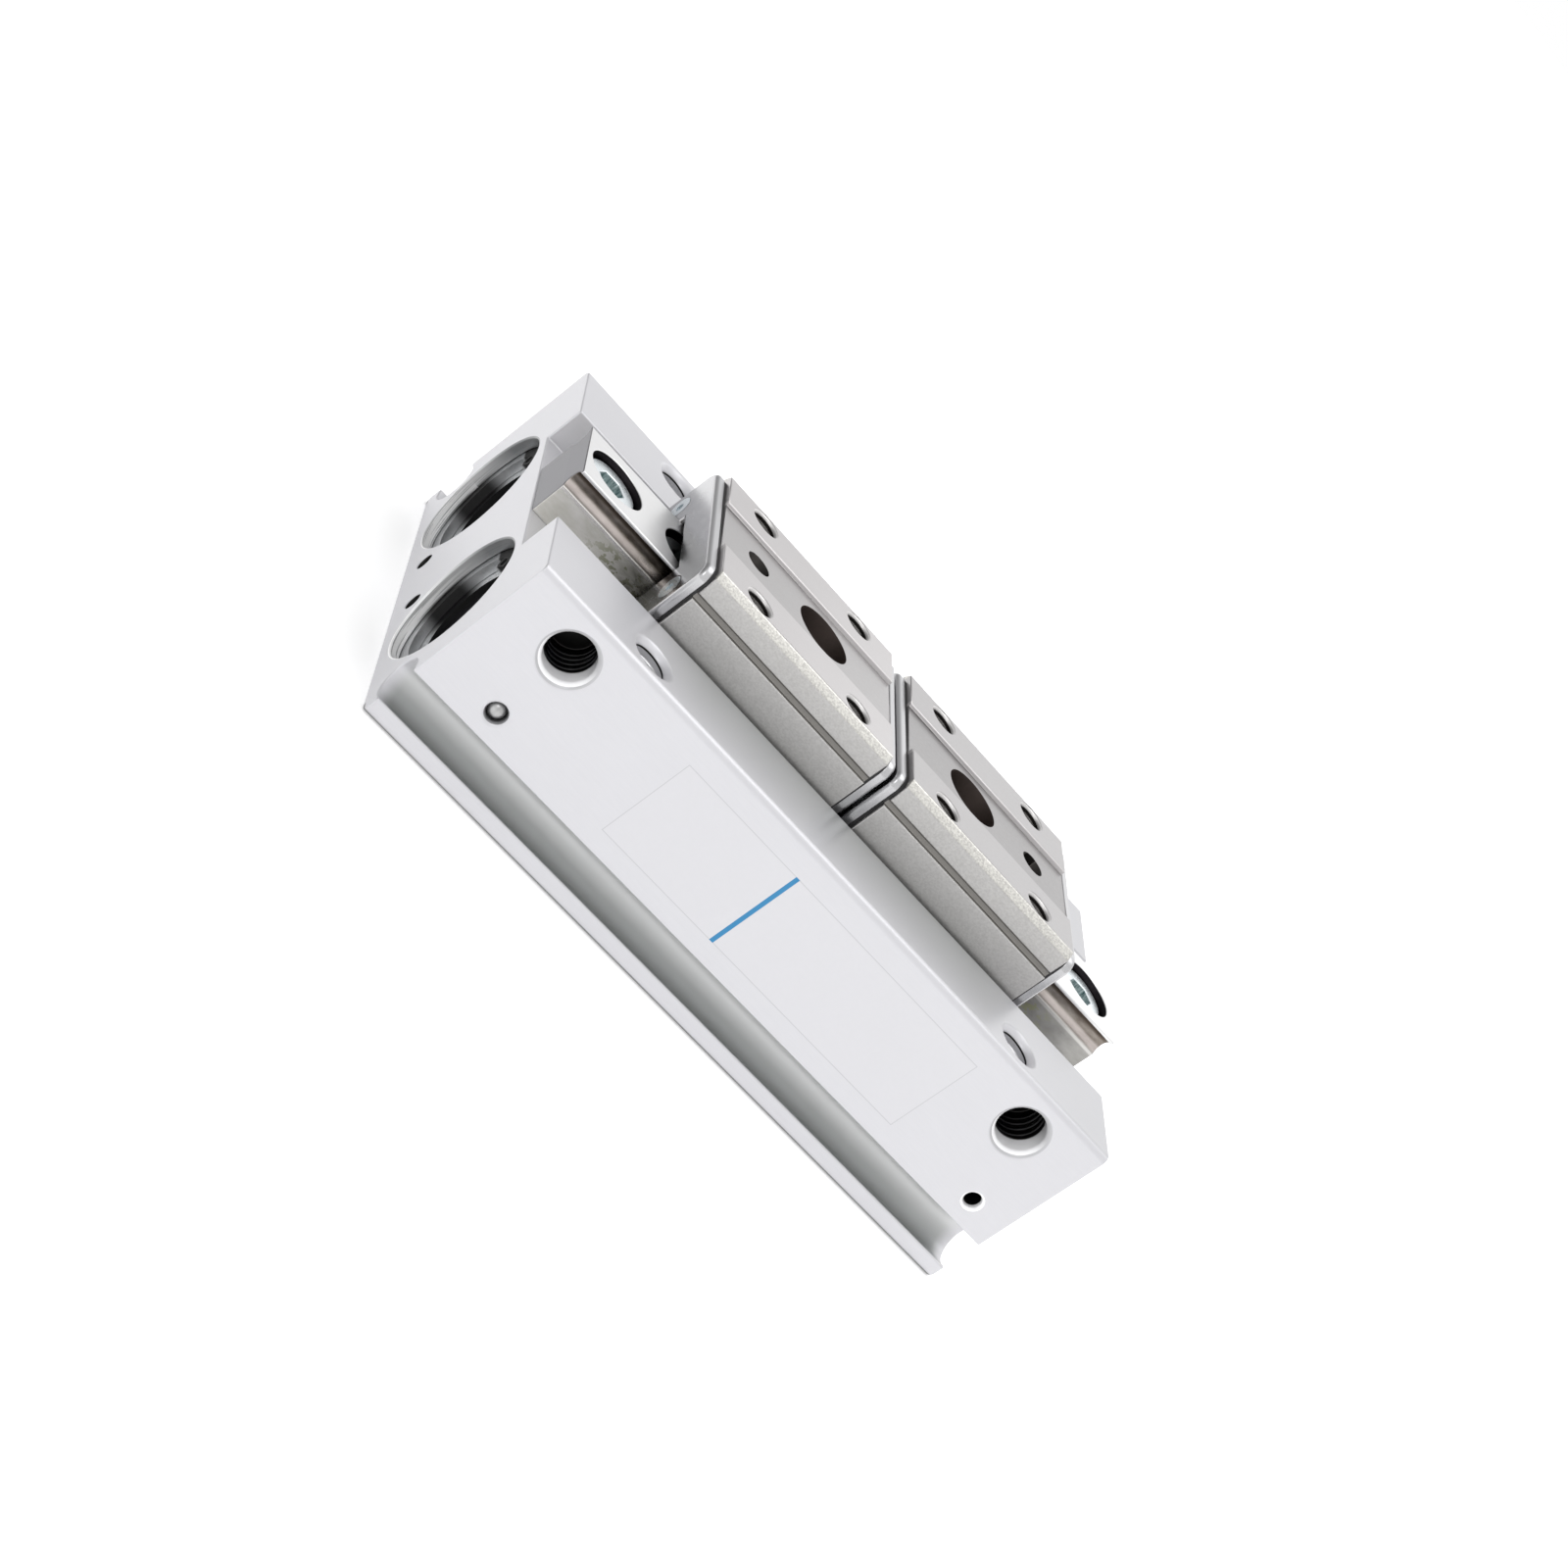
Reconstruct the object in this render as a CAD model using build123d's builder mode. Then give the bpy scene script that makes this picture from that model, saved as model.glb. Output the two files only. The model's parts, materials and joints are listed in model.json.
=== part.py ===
import math
import os

from build123d import *

# A low-profile two-finger gripper. X runs along the body, +Z points out of the fingers' tops and
# -Y out of the face with the ports. The origin is the centre of the body's underside. The model
# stands closed. The left finger is on -X and opens towards -X, and the right one mirrors it.

# Body
body_length = 68.0
body_width = 39.8
body_height = 18.8
body_edge_round = 0.7
channel_side_clearance = 0.55
channel_depth = 3.65
overall_height = 25.0

# Bores, caps and clips
bore_diameter = 12.0
bore_pitch = 20.5
bore_axis_height = 7.7
mouth_diameter = 12.9
cap_recess = 2.0
cap_thickness = 2.0
cap_dish_diameter = 9.0
cap_dish_depth = 0.6
cap_fit = 0.03
cap_ring_width = 1.0
cap_ring_depth = 0.7
clip_width = 0.8
clip_groove_depth = 0.45
clip_radial_width = 1.3
clip_gap_angle = 34.0
clip_gap_direction = 78.0
clip_ear_length = 1.1
clip_ear_width = 1.6
clip_ear_hole = 0.8
clip_play = 0.04

# Sensor grooves along both long sides
groove_height = 3.5
groove_opening = 3.6
groove_diameter = 4.1
groove_depth = 3.3

# Threaded and plain holes of the body
countersink_angle = 90.0
port_end_distance = 6.7
port_height = 14.95
port_diameter = 4.2
port_chamfer = 0.45
port_depth = 5.9
passage_diameter = 0.8
passage_wall = 0.1
mount_hole_end_distance = 11.65
top_hole_edge_distance = 3.2
mount_thread = 3.3
mount_chamfer = 0.5
top_hole_depth = 5.5
bottom_hole_depth = 6.0
bottom_pin_end_distance = 4.0
bottom_pin_diameter = 3.0
bottom_pin_depth = 3.0
end_hole_diameter = 1.6
end_hole_spacing = 7.6
end_hole_height = 2.45
end_hole_depth = 4.0
side_hole_end_distance = 3.8
side_hole_diameter = 1.5
side_hole_depth = 2.4
side_hole_chamfer = 0.25
plug_end_distance = 6.6
plug_diameter = 1.7
plug_sink = 0.15

# Label seat on the front
label_left_margin = 19.05
label_right_margin = 13.85
label_bottom = 7.25
label_height = 8.9
label_thickness = 0.1

# Guide rail
rail_end_setback = 0.1
rail_top_width = 9.0
rail_base_width = 8.0
rail_top_drop = 4.35
rail_edge_chamfer = 0.2
rail_screw_end_distances = (3.5, 12.2)
rail_counterbore_diameter = 5.8
rail_counterbore_depth = 2.6
rail_hole_diameter = 3.4
screw_diameter = 3.0
screw_head_diameter = 5.2
screw_head_height = 2.0
screw_socket_width = 2.5
screw_socket_depth = 1.3
screw_reach = 5.0
screw_fit = 0.02

# Guide balls
ball_diameter = 2.0
ball_fit = 0.03
ball_row_drop = 1.35
ball_row_spacing = 9.1
ball_end_distance = 2.65
balls_in_row = 7

# Finger carriages, closed
stroke = 12.0
finger_gap = 0.3
open_overhang = 1.25
block_width = 20.2
block_shoulder_step = 0.2
block_edge_chamfer = 0.65
block_bottom_clearance = 0.4
block_groove_drop = 3.05
block_groove_width = 0.55
block_groove_depth = 0.4
land_step = 0.4
land_recess_width = 8.0
cavity_width = 9.7
cavity_top_clearance = 0.6
finger_hole_spacing_x = 12.0
finger_hole_edge_distance = 2.5
finger_thread = 2.5
finger_hole_depth = 5.0
finger_hole_chamfer = 0.3
access_hole_diameter = 5.8
access_hole_offset = 2.0
pin_hole_diameter = 2.5
pin_hole_offset = 6.1
pin_hole_depth = 2.5

# End seals and end plates of the carriages
seal_sheet_thickness = 0.2
plate_thickness = 0.9
plate_side_setback = 0.35
plate_top_drop = 0.5
plate_corner_radius = 1.3
plate_edge_chamfer = 0.25
plate_rail_clearance = 0.3
seal_sheet_setback = 0.05
plate_screw_edge_distance = 2.4
plate_screw_drop = 4.6
plate_screw_diameter = 1.4
plate_screw_head = 2.3
plate_screw_length = 3.2
plate_screw_socket = 0.8
plate_screw_socket_depth = 0.4

# Rack and pinion
gear_module = 0.75
pinion_teeth = 16
pressure_angle = 20.0
flank_steps = 3
tooth_backlash = 0.12
rack_tip_relief = 0.1
tooth_root_clearance = 0.19
pinion_thickness = 5.0
pinion_floor = 5.0
pinion_pocket_clearance = 0.35
pinion_end_play = 0.1
pinion_hub_diameter = 6.0
pin_diameter = 3.0
pin_fit = 0.03
pin_body_depth = 3.2
pin_rail_depth = 1.4

# Pistons, their seals and magnets, and the arms that drive the carriages
piston_fit = 0.05
piston_end_clearance = 0.5
piston_seal_land = 0.3
piston_seal_width = 1.0
piston_seal_depth = 1.1
piston_seal_fit = 0.03
magnet_width = 2.5
magnet_depth = 1.3
magnet_seal_gap = 2.75
arm_length = 2.4
arm_width = 2.2
arm_x = 2.55
arm_edge_distance = 1.7
arm_foot_height = 8.6
arm_top_drop = 6.7
arm_fit = 0.05
slot_clearance = 0.2

# Places that follow from the sizes above
channel_floor = body_height - channel_depth
channel_width = block_width + 2 * channel_side_clearance
port_spacing = body_length - 2 * port_end_distance
mount_hole_spacing = body_length - 2 * mount_hole_end_distance
top_hole_spacing = body_width - 2 * top_hole_edge_distance
bottom_pin_spacing = body_length - 2 * bottom_pin_end_distance
side_hole_x = body_length / 2 - side_hole_end_distance
plug_x = plug_end_distance - body_length / 2
label_length = body_length - label_left_margin - label_right_margin
label_middle = (label_left_margin - label_right_margin) / 2
bore_centres = [(row * bore_pitch / 2, bore_axis_height) for row in (-1, 1)]
bore_end = body_length / 2 - cap_recess - cap_thickness
cap_face = body_length / 2 - cap_recess
clip_outer_diameter = mouth_diameter + 2 * clip_groove_depth
rail_length = body_length - 2 * rail_end_setback
rail_top_height = overall_height - rail_top_drop
ball_centre = ball_row_spacing / 2
ball_row_height = rail_top_height - ball_row_drop
race_radius = ball_diameter / 2 + ball_fit
rail_screw_places = [side * (rail_length / 2 - end) for end in rail_screw_end_distances for side in (-1, 1)]
rail_head_seat = rail_top_height - rail_counterbore_depth
end_stack = seal_sheet_thickness + plate_thickness
block_start = finger_gap / 2 + end_stack
block_length = body_length / 2 + open_overhang - stroke - end_stack - block_start
block_middle = block_start + block_length / 2
block_shoulder_width = block_width - 2 * block_shoulder_step
ball_pitch = (block_length - 2 * ball_end_distance) / (balls_in_row - 1)
finger_hole_spacing_y = block_width - 2 * finger_hole_edge_distance
plate_width = block_width - 2 * plate_side_setback
plate_screw_spacing = block_width - 2 * plate_screw_edge_distance
arm_y = block_width / 2 - arm_edge_distance
block_bottom = channel_floor + block_bottom_clearance
cavity_top = rail_top_height + cavity_top_clearance
land_bottom = overall_height - land_step
block_groove_height = overall_height - block_groove_drop
plate_top = overall_height - plate_top_drop
plate_screw_height = overall_height - plate_screw_drop
arm_top_height = overall_height - arm_top_drop
pitch_radius = gear_module * pinion_teeth / 2
pinion_outer_radius = pitch_radius + gear_module
pinion_root_radius = pitch_radius - gear_module - tooth_root_clearance
rack_pitch = math.pi * gear_module
rack_tip = pitch_radius - gear_module + rack_tip_relief
rack_root = pitch_radius + gear_module + tooth_root_clearance
rack_length = stroke + 2 * pinion_outer_radius
piston_diameter = bore_diameter - 2 * piston_fit
piston_length = 2 * (bore_end - piston_end_clearance) - stroke
piston_seal_place = piston_length / 2 - piston_seal_land - piston_seal_width / 2
magnet_offset = piston_seal_place - piston_seal_width / 2 - magnet_seal_gap - magnet_width / 2
pin_bottom = pinion_floor - pin_body_depth
pin_top = channel_floor + pin_rail_depth
sides = {"left": -1, "right": 1}


def bore_y(side):
    return -side * bore_pitch / 2


def piston_x(side):
    return -side * stroke / 2


# Section of the extruded body: channel on top and a keyhole groove for sensors on each side
def sketch_body_section():
    with BuildSketch(Plane.YZ.offset(-body_length / 2)) as section:
        with Locations((0, body_height / 2)):
            outline = Rectangle(body_width, body_height)
        fillet(outline.vertices(), body_edge_round)
        with Locations((0, body_height)):
            Rectangle(channel_width, 2 * channel_depth, mode=Mode.SUBTRACT)
        for row in (-1, 1):
            with Locations((row * body_width / 2, groove_height)):
                Rectangle(groove_depth, groove_opening, mode=Mode.SUBTRACT)
            with Locations((row * (body_width / 2 - groove_depth + groove_diameter / 2), groove_height)):
                Circle(groove_diameter / 2, mode=Mode.SUBTRACT)
    return section.sketch


def make_body():
    with BuildPart() as body:
        extrude(sketch_body_section(), amount=body_length)

        # Two bores from end to end, each mouth stepped for its cap and grooved for its clip
        with BuildSketch(Plane.YZ.offset(-body_length / 2)):
            with Locations(*bore_centres):
                Circle(bore_diameter / 2)
        extrude(amount=body_length, mode=Mode.SUBTRACT)
        for side in (-1, 1):
            with BuildSketch(Plane.YZ.offset(side * body_length / 2)):
                with Locations(*bore_centres):
                    Circle(mouth_diameter / 2)
            extrude(amount=-side * (cap_recess + cap_thickness), mode=Mode.SUBTRACT)
            with BuildSketch(Plane.YZ.offset(side * cap_face)):
                with Locations(*bore_centres):
                    Circle(clip_outer_diameter / 2)
            extrude(amount=side * (clip_width + 2 * clip_play), mode=Mode.SUBTRACT)

        # Pocket of the pinion, open to the channel, with the seat of its pin
        with BuildSketch(Plane.XY.offset(pinion_floor)):
            Circle(pinion_outer_radius + pinion_pocket_clearance)
        extrude(amount=channel_floor - pinion_floor, mode=Mode.SUBTRACT)
        with BuildSketch(Plane.XY.offset(pin_bottom)):
            Circle(pin_diameter / 2 + pin_fit)
        extrude(amount=pin_body_depth, mode=Mode.SUBTRACT)

        # Slots in the channel floor for the arms
        with BuildSketch(Plane.XY.offset(bore_axis_height)):
            for side in (-1, 1):
                with Locations((side * (arm_x + stroke / 2), -side * arm_y)):
                    SlotOverall(stroke + arm_length + 2 * slot_clearance, arm_width + 2 * slot_clearance)
        extrude(amount=channel_floor - bore_axis_height, mode=Mode.SUBTRACT)

        # Threads under the rail
        with Locations(*[(x, 0, channel_floor) for x in rail_screw_places]):
            Hole(screw_diameter / 2 + screw_fit, depth=screw_reach)

        # Mounting threads on top and below, and the locating holes below
        with Locations(Plane.XY.offset(body_height)):
            with GridLocations(mount_hole_spacing, top_hole_spacing, 2, 2):
                CounterSinkHole(
                    mount_thread / 2, mount_thread / 2 + mount_chamfer, top_hole_depth, countersink_angle
                )
        with Locations(Plane(origin=(0, 0, 0), x_dir=(1, 0, 0), z_dir=(0, 0, -1))):
            with GridLocations(mount_hole_spacing, 0, 2, 1):
                Hole(mount_thread / 2, depth=bottom_hole_depth)
            with GridLocations(bottom_pin_spacing, 0, 2, 1):
                Hole(bottom_pin_diameter / 2, depth=bottom_pin_depth)

        # Air ports in the front, each with a fine passage down to its end of the near bore
        front = Plane(origin=(0, -body_width / 2, 0), x_dir=(1, 0, 0), z_dir=(0, -1, 0))
        with Locations(front):
            with Locations((-port_spacing / 2, port_height), (port_spacing / 2, port_height)):
                CounterSinkHole(
                    port_diameter / 2, port_diameter / 2 + port_chamfer, port_depth, countersink_angle
                )
            for x, diameter in ((side_hole_x, side_hole_diameter), (plug_x, plug_diameter)):
                with Locations((x, bore_axis_height)):
                    CounterSinkHole(
                        diameter / 2, diameter / 2 + side_hole_chamfer, side_hole_depth, countersink_angle
                    )
        with BuildSketch(Plane.XY.offset(bore_axis_height)):
            for side in (-1, 1):
                passage_y = -body_width / 2 + port_depth - passage_diameter
                with Locations((side * (bore_end - passage_wall - passage_diameter / 2), passage_y)):
                    Circle(passage_diameter / 2)
        extrude(amount=port_height - bore_axis_height, mode=Mode.SUBTRACT)

        # Two small threads low in each end face
        for side in (-1, 1):
            end_face = Plane(origin=(side * body_length / 2, 0, 0), x_dir=(0, 1, 0), z_dir=(side, 0, 0))
            with Locations(end_face):
                with Locations(*[(row * end_hole_spacing / 2, side * end_hole_height) for row in (-1, 1)]):
                    Hole(end_hole_diameter / 2, depth=end_hole_depth)

        # Shallow seat of the label
        with BuildSketch(front):
            with Locations((label_middle, label_bottom + label_height / 2)):
                Rectangle(label_length, label_height)
        extrude(amount=-label_thickness, mode=Mode.SUBTRACT)
    return body.part


def make_label():
    front = Plane(origin=(0, -body_width / 2, 0), x_dir=(1, 0, 0), z_dir=(0, -1, 0))
    with BuildPart() as label:
        with BuildSketch(front):
            with Locations((label_middle, label_bottom + label_height / 2)):
                Rectangle(label_length, label_height)
        extrude(amount=-label_thickness)
    return label.part


# The rail is wider at its head, and a ball race runs along each side of the head
def make_guide_rail():
    rail_height = rail_top_height - channel_floor
    with BuildPart() as rail:
        with BuildSketch(Plane.YZ.offset(-rail_length / 2)):
            with Locations((0, channel_floor)):
                Rectangle(rail_base_width, rail_height, align=(Align.CENTER, Align.MIN))
            with Locations((0, rail_top_height)):
                head = Rectangle(
                    rail_top_width, rail_top_height - ball_row_height, align=(Align.CENTER, Align.MAX)
                )
            chamfer(head.vertices().sort_by(Axis.Y)[-2:], rail_edge_chamfer)
            with Locations((-ball_centre, ball_row_height), (ball_centre, ball_row_height)):
                Circle(race_radius, mode=Mode.SUBTRACT)
        extrude(amount=rail_length)
        with Locations(*[(x, 0, rail_top_height) for x in rail_screw_places]):
            CounterBoreHole(rail_hole_diameter / 2, rail_counterbore_diameter / 2, rail_counterbore_depth)
        with BuildSketch(Plane.XY.offset(channel_floor)):
            Circle(pin_diameter / 2 + pin_fit)
        extrude(amount=pin_rail_depth + pin_fit, mode=Mode.SUBTRACT)
    return rail.part


def make_rail_screws():
    shank_length = rail_head_seat - channel_floor + screw_reach - screw_fit
    with BuildPart() as screws:
        for x in rail_screw_places:
            with BuildSketch(Plane.XY.offset(rail_head_seat)):
                with Locations((x, 0)):
                    Circle(screw_head_diameter / 2)
            extrude(amount=screw_head_height)
            with BuildSketch(Plane.XY.offset(rail_head_seat)):
                with Locations((x, 0)):
                    Circle(screw_diameter / 2)
            extrude(amount=-shank_length)
            with BuildSketch(Plane.XY.offset(rail_head_seat + screw_head_height)):
                with Locations((x, 0)):
                    RegularPolygon(screw_socket_width / 2, 6, major_radius=False)
            extrude(amount=-screw_socket_depth, mode=Mode.SUBTRACT)
    return screws.part


# Section of a carriage: two lands on top, a groove along each flank and a cavity round the rail
def sketch_block_section(plane):
    with BuildSketch(plane) as section:
        with Locations((0, block_bottom)):
            Rectangle(block_width, block_groove_height - block_bottom, align=(Align.CENTER, Align.MIN))
        with Locations((0, block_groove_height)):
            Rectangle(
                block_width - 2 * block_groove_depth,
                block_groove_width,
                align=(Align.CENTER, Align.MIN),
            )
        with Locations((0, overall_height)):
            cap = Rectangle(
                block_shoulder_width,
                overall_height - block_groove_height - block_groove_width,
                align=(Align.CENTER, Align.MAX),
            )
        chamfer(cap.vertices().sort_by(Axis.Y)[-2:], block_edge_chamfer)
        with Locations((0, overall_height)):
            Rectangle(land_recess_width, 2 * land_step, mode=Mode.SUBTRACT)
        with Locations((0, cavity_top)):
            Rectangle(cavity_width, cavity_top, align=(Align.CENTER, Align.MAX), mode=Mode.SUBTRACT)
        with Locations((-ball_centre, ball_row_height), (ball_centre, ball_row_height)):
            Circle(race_radius, mode=Mode.SUBTRACT)
    return section.sketch


def make_finger_block(side):
    middle = side * block_middle
    with BuildPart() as block:
        extrude(sketch_block_section(Plane.YZ.offset(middle - block_length / 2)), amount=block_length)

        # Threads for the jaws, a locating hole and the hole that reaches the rail screws
        with Locations((middle, 0, overall_height)):
            with GridLocations(finger_hole_spacing_x, finger_hole_spacing_y, 2, 2):
                CounterSinkHole(
                    finger_thread / 2,
                    finger_thread / 2 + finger_hole_chamfer,
                    finger_hole_depth,
                    countersink_angle,
                )
        with Locations((middle + side * pin_hole_offset, 0, land_bottom)):
            Hole(pin_hole_diameter / 2, depth=pin_hole_depth)
        with Locations((middle - side * access_hole_offset, 0, land_bottom)):
            Hole(access_hole_diameter / 2, depth=land_bottom - cavity_top)

        # Socket of the arm, from below, and the threads of the plate screws in both ends
        with BuildSketch(Plane.XY.offset(block_bottom)):
            with Locations((side * arm_x, -side * arm_y)):
                SlotOverall(arm_length + 2 * arm_fit, arm_width + 2 * arm_fit)
        extrude(amount=arm_top_height + arm_fit - block_bottom, mode=Mode.SUBTRACT)
        for end in (-1, 1):
            end_face = Plane.YZ.offset(middle + end * block_length / 2)
            with BuildSketch(end_face):
                with Locations(*[(row * plate_screw_spacing / 2, plate_screw_height) for row in (-1, 1)]):
                    Circle(plate_screw_diameter / 2 + screw_fit)
            extrude(amount=-end * (plate_screw_length - end_stack + screw_fit), mode=Mode.SUBTRACT)
    return block.part


# Outline shared by the end plates and the seal sheets, open below where it straddles the rail
def sketch_end_outline(plane, setback, rail_clearance):
    width = plate_width - 2 * setback
    top = plate_top - setback
    with BuildSketch(plane) as outline:
        with Locations((0, top)):
            frame = Rectangle(width, top - block_bottom, align=(Align.CENTER, Align.MAX))
        fillet(frame.vertices(), plate_corner_radius)
        with Locations((0, rail_top_height + rail_clearance)):
            Rectangle(
                rail_top_width + 2 * rail_clearance,
                rail_top_height,
                align=(Align.CENTER, Align.MAX),
                mode=Mode.SUBTRACT,
            )
    return outline.sketch


def make_end_plate(side, end):
    outer_face = side * block_middle + end * (block_length / 2 + end_stack)
    back = Plane.YZ.offset(outer_face - end * plate_thickness)
    outline = sketch_end_outline(back, 0, plate_rail_clearance)
    with BuildPart() as plate:
        extrude(outline, amount=end * plate_thickness)
        outer = plate.faces().sort_by(Axis.X)[-1 if end > 0 else 0]
        chamfer(outer.edges(), plate_edge_chamfer)
        with Locations(Plane(origin=(outer_face, 0, 0), x_dir=(0, 1, 0), z_dir=(end, 0, 0))):
            with Locations(
                *[(row * plate_screw_spacing / 2, end * plate_screw_height) for row in (-1, 1)]
            ):
                CounterSinkHole(
                    plate_screw_diameter / 2 + screw_fit,
                    plate_screw_head / 2 + screw_fit,
                    counter_sink_angle=countersink_angle,
                )
    return plate.part


def make_end_seal(side, end):
    inner_face = side * block_middle + end * block_length / 2
    outline = sketch_end_outline(Plane.YZ.offset(inner_face), seal_sheet_setback, plate_rail_clearance / 2)
    with BuildPart() as seal:
        extrude(outline, amount=end * seal_sheet_thickness)
        with BuildSketch(Plane.YZ.offset(inner_face)):
            with Locations(*[(row * plate_screw_spacing / 2, plate_screw_height) for row in (-1, 1)]):
                Circle(plate_screw_diameter / 2 + screw_fit)
        extrude(amount=end * seal_sheet_thickness, mode=Mode.SUBTRACT)
    return seal.part


# Flat head screws, two in each plate, flush with its outer face
def make_plate_screws(side):
    head_height = (plate_screw_head - plate_screw_diameter) / 2
    with BuildPart() as screws:
        for end in (-1, 1):
            outer_face = side * block_middle + end * (block_length / 2 + end_stack)
            for row in (-1, 1):
                axis_point = (outer_face, row * plate_screw_spacing / 2, plate_screw_height)
                with BuildSketch(Plane(origin=axis_point, x_dir=(0, 1, 0), z_dir=(-end, 0, 0))):
                    Circle(plate_screw_head / 2)
                extrude(amount=head_height, taper=countersink_angle / 2)
                with BuildSketch(Plane(origin=axis_point, x_dir=(0, 1, 0), z_dir=(-end, 0, 0))):
                    Circle(plate_screw_diameter / 2)
                extrude(amount=plate_screw_length)
                with BuildSketch(Plane(origin=axis_point, x_dir=(0, 1, 0), z_dir=(-end, 0, 0))):
                    RegularPolygon(plate_screw_socket / 2, 6, major_radius=False)
                extrude(amount=plate_screw_socket_depth, mode=Mode.SUBTRACT)
    return screws.part


# One row of balls in each race. A ball has 26 even facets, and its corners lie on the full diameter.
def make_guide_balls(side):
    octagon_ratio = 1 + math.sqrt(2)
    facet_edge = ball_diameter / math.sqrt(octagon_ratio**2 + 2)
    cube_side = facet_edge * octagon_ratio
    with BuildPart() as ball:
        Box(cube_side, cube_side, cube_side)
        chamfer(ball.edges(), (cube_side - facet_edge) / 2)
    with BuildPart() as balls:
        with Locations((side * block_middle, 0, ball_row_height)):
            with GridLocations(ball_pitch, ball_row_spacing, balls_in_row, 2):
                add(ball.part)
    return balls.part


# A double-ended piston with a rack cut in the flank that faces the pinion
def make_piston(side):
    middle = piston_x(side)
    row = -side
    with BuildPart() as piston:
        with BuildSketch(Plane.YZ.offset(middle - piston_length / 2)):
            with Locations((bore_y(side), bore_axis_height)):
                Circle(piston_diameter / 2)
        extrude(amount=piston_length)

        # Grooves for the two seals and the magnet
        groove_places = [
            (middle - piston_seal_place, piston_seal_width, piston_seal_depth),
            (middle + piston_seal_place, piston_seal_width, piston_seal_depth),
            (middle + side * magnet_offset, magnet_width, magnet_depth),
        ]
        for place, width, depth in groove_places:
            with BuildSketch(Plane.YZ.offset(place - width / 2)):
                with Locations((bore_y(side), bore_axis_height)):
                    Circle(bore_diameter / 2)
                    Circle(piston_diameter / 2 - depth, mode=Mode.SUBTRACT)
            extrude(amount=width, mode=Mode.SUBTRACT)

        # Flat for the rack, then its tooth gaps, one of them opposite the pinion's axis
        below = bore_axis_height - bore_diameter / 2
        with BuildSketch(Plane.XY.offset(below)):
            with Locations((middle, row * rack_tip / 2)):
                Rectangle(rack_length, rack_tip)
        extrude(amount=bore_diameter, mode=Mode.SUBTRACT)
        first_gap = math.ceil((stroke - rack_length) / 2 / rack_pitch)
        last_gap = math.floor((stroke + rack_length) / 2 / rack_pitch)
        slope = math.tan(math.radians(pressure_angle))
        half_gap = rack_pitch / 4 + tooth_backlash / 2
        mouth_half = half_gap + slope * (pitch_radius - rack_tip + tooth_backlash)
        floor_half = half_gap - slope * (rack_root - pitch_radius)
        with BuildSketch(Plane.XY.offset(below)):
            for gap in range(first_gap, last_gap + 1):
                gap_x = row * gap * rack_pitch
                with BuildLine():
                    Polyline(
                        (gap_x - mouth_half, row * (rack_tip - tooth_backlash)),
                        (gap_x + mouth_half, row * (rack_tip - tooth_backlash)),
                        (gap_x + floor_half, row * rack_root),
                        (gap_x - floor_half, row * rack_root),
                        close=True,
                    )
                make_face()
        extrude(amount=bore_diameter, mode=Mode.SUBTRACT)

        # Socket of the arm
        with BuildSketch(Plane.XY.offset(arm_foot_height - arm_fit)):
            with Locations((side * arm_x, -side * arm_y)):
                SlotOverall(arm_length + 2 * arm_fit, arm_width + 2 * arm_fit)
        extrude(amount=piston_diameter, mode=Mode.SUBTRACT)
    return piston.part


def make_arm(side):
    with BuildPart() as arm:
        with BuildSketch(Plane.XY.offset(arm_foot_height)):
            with Locations((side * arm_x, -side * arm_y)):
                SlotOverall(arm_length, arm_width)
        extrude(amount=arm_top_height - arm_foot_height)
    return arm.part


# A plain ring about one bore's axis, centred at x
def make_ring(x, centre, width, outer_radius, inner_radius):
    with BuildPart() as ring:
        with BuildSketch(Plane.YZ.offset(x - width / 2)):
            with Locations(centre):
                Circle(outer_radius)
                Circle(inner_radius, mode=Mode.SUBTRACT)
        extrude(amount=width)
    return ring.part


def make_piston_seals(side):
    centre = (bore_y(side), bore_axis_height)
    outer = bore_diameter / 2 - piston_seal_fit
    inner = piston_diameter / 2 - piston_seal_depth
    with BuildPart() as seals:
        for end in (-1, 1):
            add(make_ring(piston_x(side) + end * piston_seal_place, centre, piston_seal_width, outer, inner))
    return seals.part


def make_magnet(side):
    centre = (bore_y(side), bore_axis_height)
    inner = piston_diameter / 2 - magnet_depth
    place = piston_x(side) + side * magnet_offset
    return make_ring(place, centre, magnet_width, piston_diameter / 2, inner)


# Dished discs that close the bores, each with a groove round its rim
def make_caps(side):
    radius = mouth_diameter / 2 - cap_fit
    with BuildPart() as caps:
        with BuildSketch(Plane.YZ.offset(side * bore_end)):
            with Locations(*bore_centres):
                Circle(radius)
        extrude(amount=side * cap_thickness)
        with BuildSketch(Plane.YZ.offset(side * cap_face)):
            with Locations(*bore_centres):
                Circle(cap_dish_diameter / 2)
        extrude(amount=-side * cap_dish_depth, mode=Mode.SUBTRACT)
        with BuildSketch(Plane.YZ.offset(side * (bore_end + cap_thickness / 2) - cap_ring_width / 2)):
            with Locations(*bore_centres):
                Circle(mouth_diameter / 2)
                Circle(radius - cap_ring_depth, mode=Mode.SUBTRACT)
        extrude(amount=cap_ring_width, mode=Mode.SUBTRACT)
    return caps.part


def make_cap_rings():
    outer = mouth_diameter / 2 - cap_fit
    with BuildPart() as rings:
        for side in (-1, 1):
            for centre in bore_centres:
                place = side * (bore_end + cap_thickness / 2)
                add(make_ring(place, centre, cap_ring_width, outer, outer - cap_ring_depth))
    return rings.part


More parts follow.
